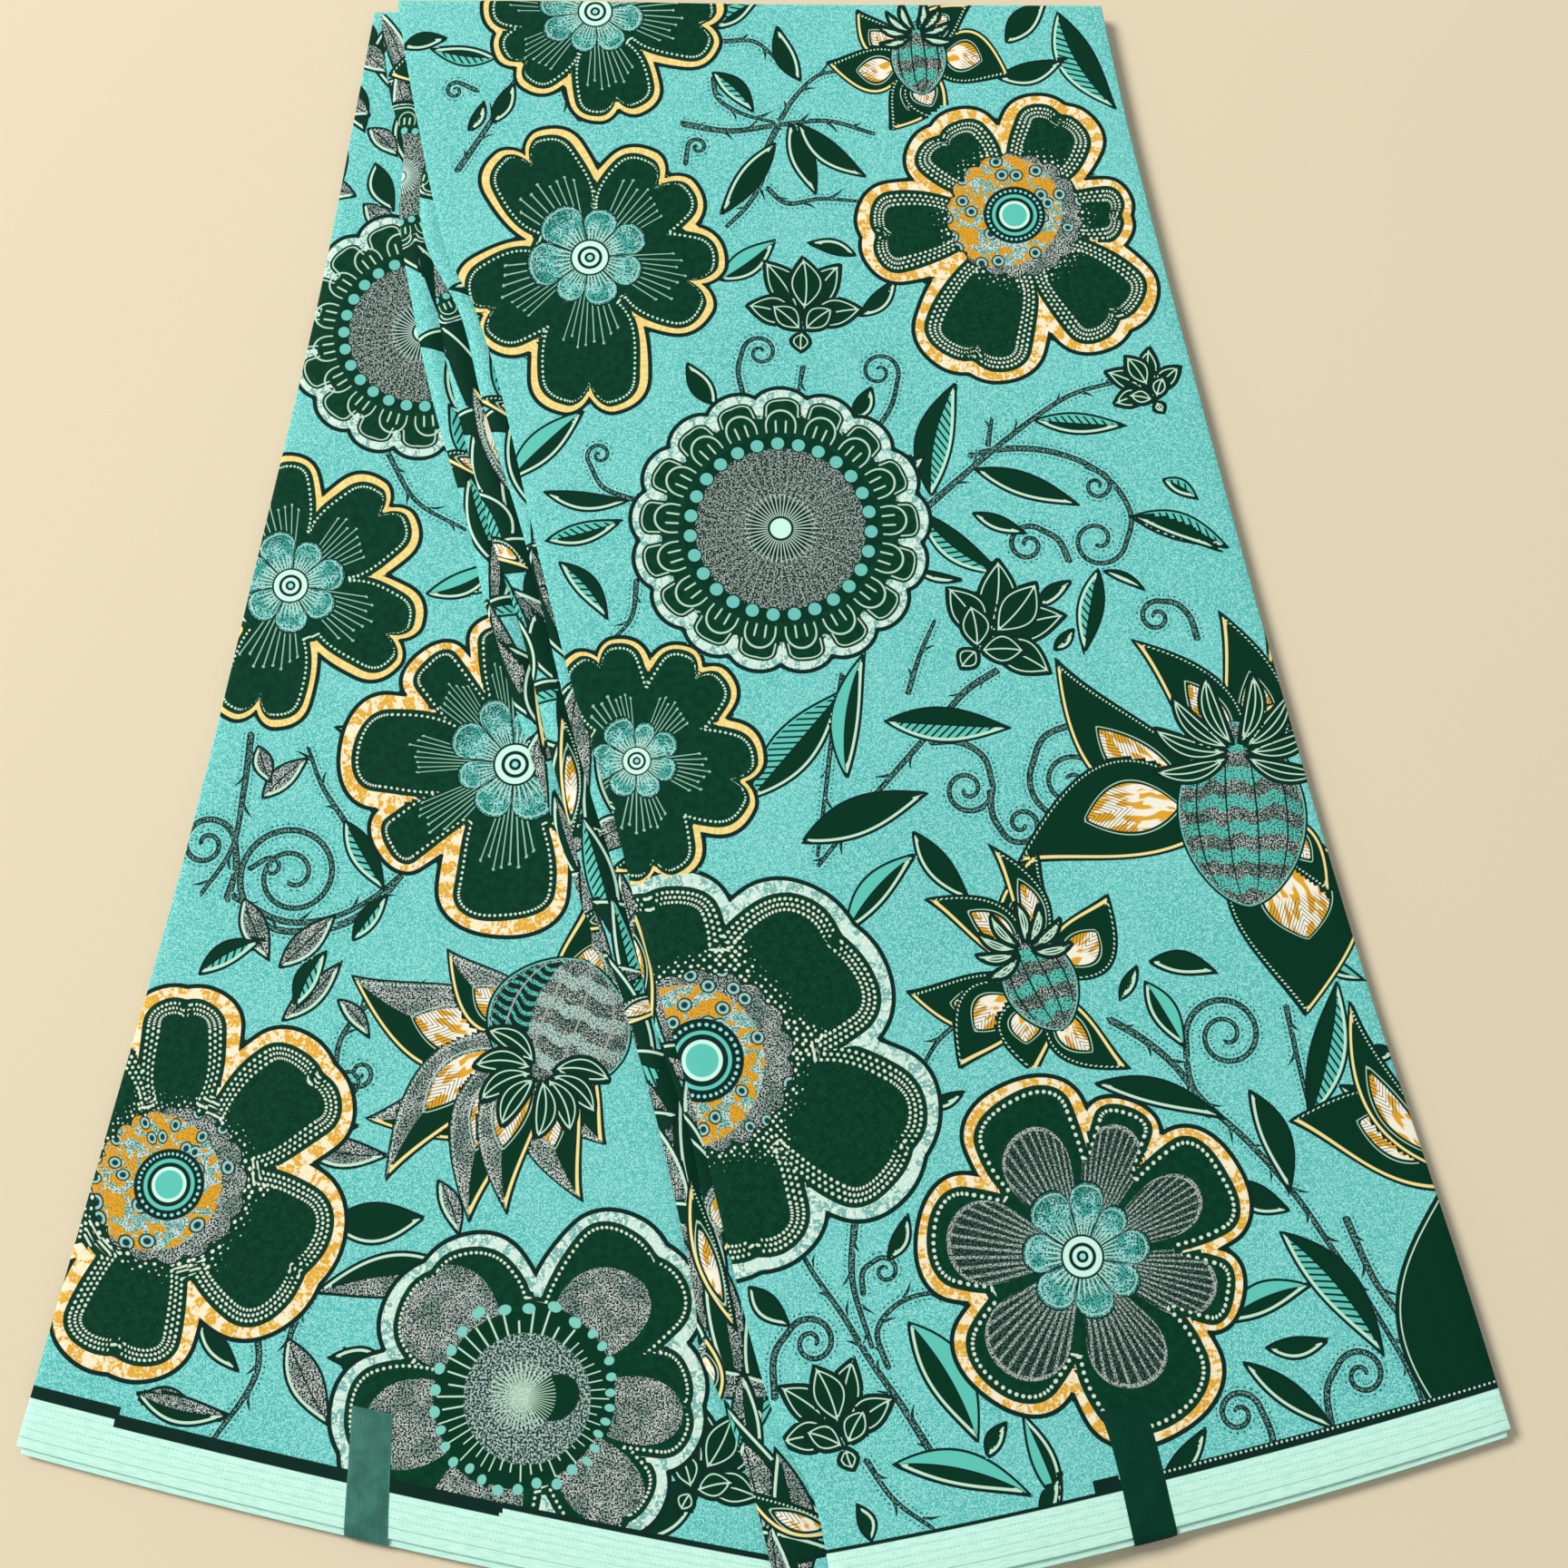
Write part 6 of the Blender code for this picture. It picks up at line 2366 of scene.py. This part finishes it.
def patchwork(count: int, looks: tuple[Union[LeafLook, PodLook], ...], lead: float) -> tuple[Leaf, ...]:
    """Leaf shapes of mixed looks, sizes and directions along the pleats.

    Args:
        count: how many.
        looks: their looks, used in turn.
        lead: a number that varies their places.

    Returns:
        The leaves, from the top to the hems.
    """
    made = []
    for i in range(count):
        chance = np.mod(np.array([0.618, 0.383, 0.274, 0.531]) * (i + lead), 1.0)
        share = (i + 0.5) / count
        middle = np.array([-150 + 150 * share + 34 * (chance[0] - 0.5), 312 - 622 * share])
        turn = 0.42 * (chance[1] - 0.5) if i % 4 else 1.5 * (chance[1] - 0.5) + 1.1
        angle = 1.807 + turn + math.pi * (i % 2)
        half = (15 + 21 * chance[2]) * np.array([math.cos(angle), math.sin(angle)])
        made.append(Leaf(tuple(middle - half), tuple(middle + half), 9 + 8 * chance[3], looks[i % len(looks)],
                         bend=0.2 * (chance[0] - 0.5)))
    return tuple(made)


PLEAT_LEAVES = patchwork(88, (LeafLook.DARK, LeafLook.STROKES_LEFT, LeafLook.SPECKLED, LeafLook.DARK,
                              LeafLook.HALF_SPECKLED), 0.0)
PLEAT_FLAMES = patchwork(14, (PodLook.FLAME, PodLook.FLAME_SPECKLED), 7.4)


def plan_of(flowers: Sequence[Flower], leaves: Sequence[Leaf], vines: Sequence[Vine],
            pods: Sequence[PodFlower], band: Optional[Band] = None) -> PrintPlan:
    """A print from its flowers, leaves, vines and pod flowers."""
    layers = [pod.parts() for pod in pods]
    flames, scaled, tufts = (tuple(leaf for parts in layers for leaf in parts[i]) for i in range(3))
    return PrintPlan(tuple(flowers), tuple(leaves), flames, scaled, tufts, tuple(vines), band)


LEFT_BAND = Band(((0.0, 17.2, 4.5), (32.5, 14.6, 4.5), (175.0, 17.4, 2.0)))
RIGHT_BAND = Band(((0.0, 14.6, 1.2), (98.0, 14.6, 5.0), (108.0, 14.6, 3.4)))
PLAIN_BAND = Band(((0.0, 30.0, 0.0),))
LEFT_PRINT = plan_of(LEFT_FLOWERS, LEFT_LEAVES, LEFT_VINES, LEFT_PODS, LEFT_BAND)
RIGHT_PRINT = plan_of(RIGHT_FLOWERS, RIGHT_LEAVES, RIGHT_VINES, RIGHT_PODS, RIGHT_BAND)
PLEAT_PRINT = PrintPlan(PLEAT_FLOWERS, PLEAT_LEAVES, PLEAT_FLAMES)


@dataclass(frozen=True)
class Fan:
    """The fanned cloth: two leaves, three pleats, the lower selvedges, the hidden folds and
    the tapes."""

    left_roll: float = 4.0
    fold_roll: float = 6.0
    side_roll: float = 9.0
    pleat_roll: float = 3.5
    thin_roll: float = 1.5
    pleat_settle: float = 4.0
    pleat_shows: float = 42.0
    lower_settle: float = 6.0
    wide_cell: float = 1.42
    lower_cell: float = 2.4
    left_lower_span: Pair = (0.006, 0.965)
    right_lower_span: Pair = (0.23, 0.994)
    left_tape: float = 0.452
    right_tape: float = 0.467

    def leaves(self) -> list[ClothSheet]:
        """The two leaves that show."""
        top = Edge(self.thin_roll)
        return [
            ClothSheet("left_leaf_cloth", "left_leaf", LEFT_SIDE.at, HIDDEN_SIDE.at, level(LEFT_UNDER),
                       LEAF_WALL, LEFT_PRINT, Edge(self.left_roll), PlainEnd(), top, HemEnd(),
                       bulge=HEM_BULGE_LEFT, rests_on=("hidden_folds",)),
            ClothSheet("right_leaf_cloth", "right_leaf", FOLD_SIDE.at, RIGHT_SIDE.at, right_underside,
                       LEAF_WALL, RIGHT_PRINT, Edge(self.fold_roll), Edge(self.side_roll), top, HemEnd(),
                       bulge=HEM_BULGE_RIGHT, cell=self.wide_cell,
                       rests_on=("hidden_folds", "inner_pleat_cloth")),
        ]

    def pleats(self) -> list[ClothSheet]:
        """The three pleats between the leaves, the lowest first."""
        made = []
        below = "left_leaf_cloth"
        for step, (name, edge, over, aside) in enumerate((
            ("outer_pleat", OUTER_PLEAT, MIDDLE_PLEAT, (0.0, 0.0)),
            ("middle_pleat", MIDDLE_PLEAT, INNER_PLEAT, (11.0, -36.0)),
            ("inner_pleat", INNER_PLEAT, RIGHT_FOLD, (16.0, 22.0)),
        )):
            side = Line(FOLD_TOP, FOLD_TURN, FOLD_LENGTH, edge)
            made.append(ClothSheet(
                name + "_cloth", name, side.at, BENCH_SIDE.at,
                crowned(LEFT_TOP_Z + GAP + step * PLEAT_PITCH, edge, over),
                PLEAT_WALL, PLEAT_PRINT.moved(*aside), Edge(self.pleat_roll), PlainEnd(),
                Edge(self.thin_roll), HemEnd(self.pleat_settle), length=FOLD_LENGTH, starts=2.0, stops=1.0,
                coarse_after=self.pleat_shows, rests_on=(below,)))
            below = name + "_cloth"
        return made

    def lower_selvedges(self) -> list[ClothSheet]:
        """The second selvedges, which show below the leaves' hems."""
        spread = {"starts": SIDE_LENGTH - LOWER_DEPTH, "stops": -LOWER_SHOWS, "slot": "selvedge_cotton",
                  "cell": self.lower_cell, "rests_on": ("hidden_folds",)}
        print_plan = PrintPlan(band=PLAIN_BAND)
        side, end = Edge(self.thin_roll), HemEnd(self.lower_settle)
        return [
            ClothSheet("left_lower_hem", "left_lower_selvedge", LEFT_SIDE.at, HIDDEN_SIDE.at,
                       level(INNER_LEFT - LOWER_WALL), LOWER_WALL, print_plan, side, PlainEnd(), PlainEnd(),
                       end, bulge=HEM_BULGE_LEFT, span=self.left_lower_span, **spread),
            ClothSheet("right_lower_hem", "right_lower_selvedge", FOLD_SIDE.at, RIGHT_SIDE.at,
                       lambda points: right_underside(points) - GAP - LOWER_WALL, LOWER_WALL, print_plan,
                       PlainEnd(), side, PlainEnd(), end, bulge=HEM_BULGE_RIGHT,
                       span=self.right_lower_span, **spread),
        ]

    def tapes(self) -> list[Tape]:
        """The two blank tapes that hold the hems together."""
        # the satin tape's lighter tone is partly painted sheen
        satin = TapeFinish("tape_satin", ink(30, 92, 78), ink(66, 140, 124), 0.3, 0.3, 0.4)
        matte = TapeFinish("tape_matte", ink(4, 52, 38), ink(10, 66, 50), 0.55, 0.0, 0.06)
        return [
            Tape("left_tape_strip", "left_tape", LEFT_SIDE.at, HIDDEN_SIDE.at, HEM_BULGE_LEFT,
                 level(LEFT_UNDER), self.left_tape, satin),
            Tape("right_tape_strip", "right_tape", FOLD_SIDE.at, RIGHT_SIDE.at, HEM_BULGE_RIGHT,
                 right_underside, self.right_tape, matte),
        ]

    def make(self) -> None:
        """Everything, with its finishes."""
        finishes = [PrintedCotton(finish).material() for finish in PrintFinish]
        for sheet in (*self.leaves(), *self.pleats(), *self.lower_selvedges()):
            sheet.make(finishes)
        HiddenFolds().make(fold_edges())
        for tape in self.tapes():
            tape.make()


def main() -> None:
    """Makes the cloth and its stage."""
    logging.basicConfig(level=logging.INFO, format="%(name)s: %(message)s")
    Fan().make()
    Stage().make()


if __name__ == "__main__":
    main()
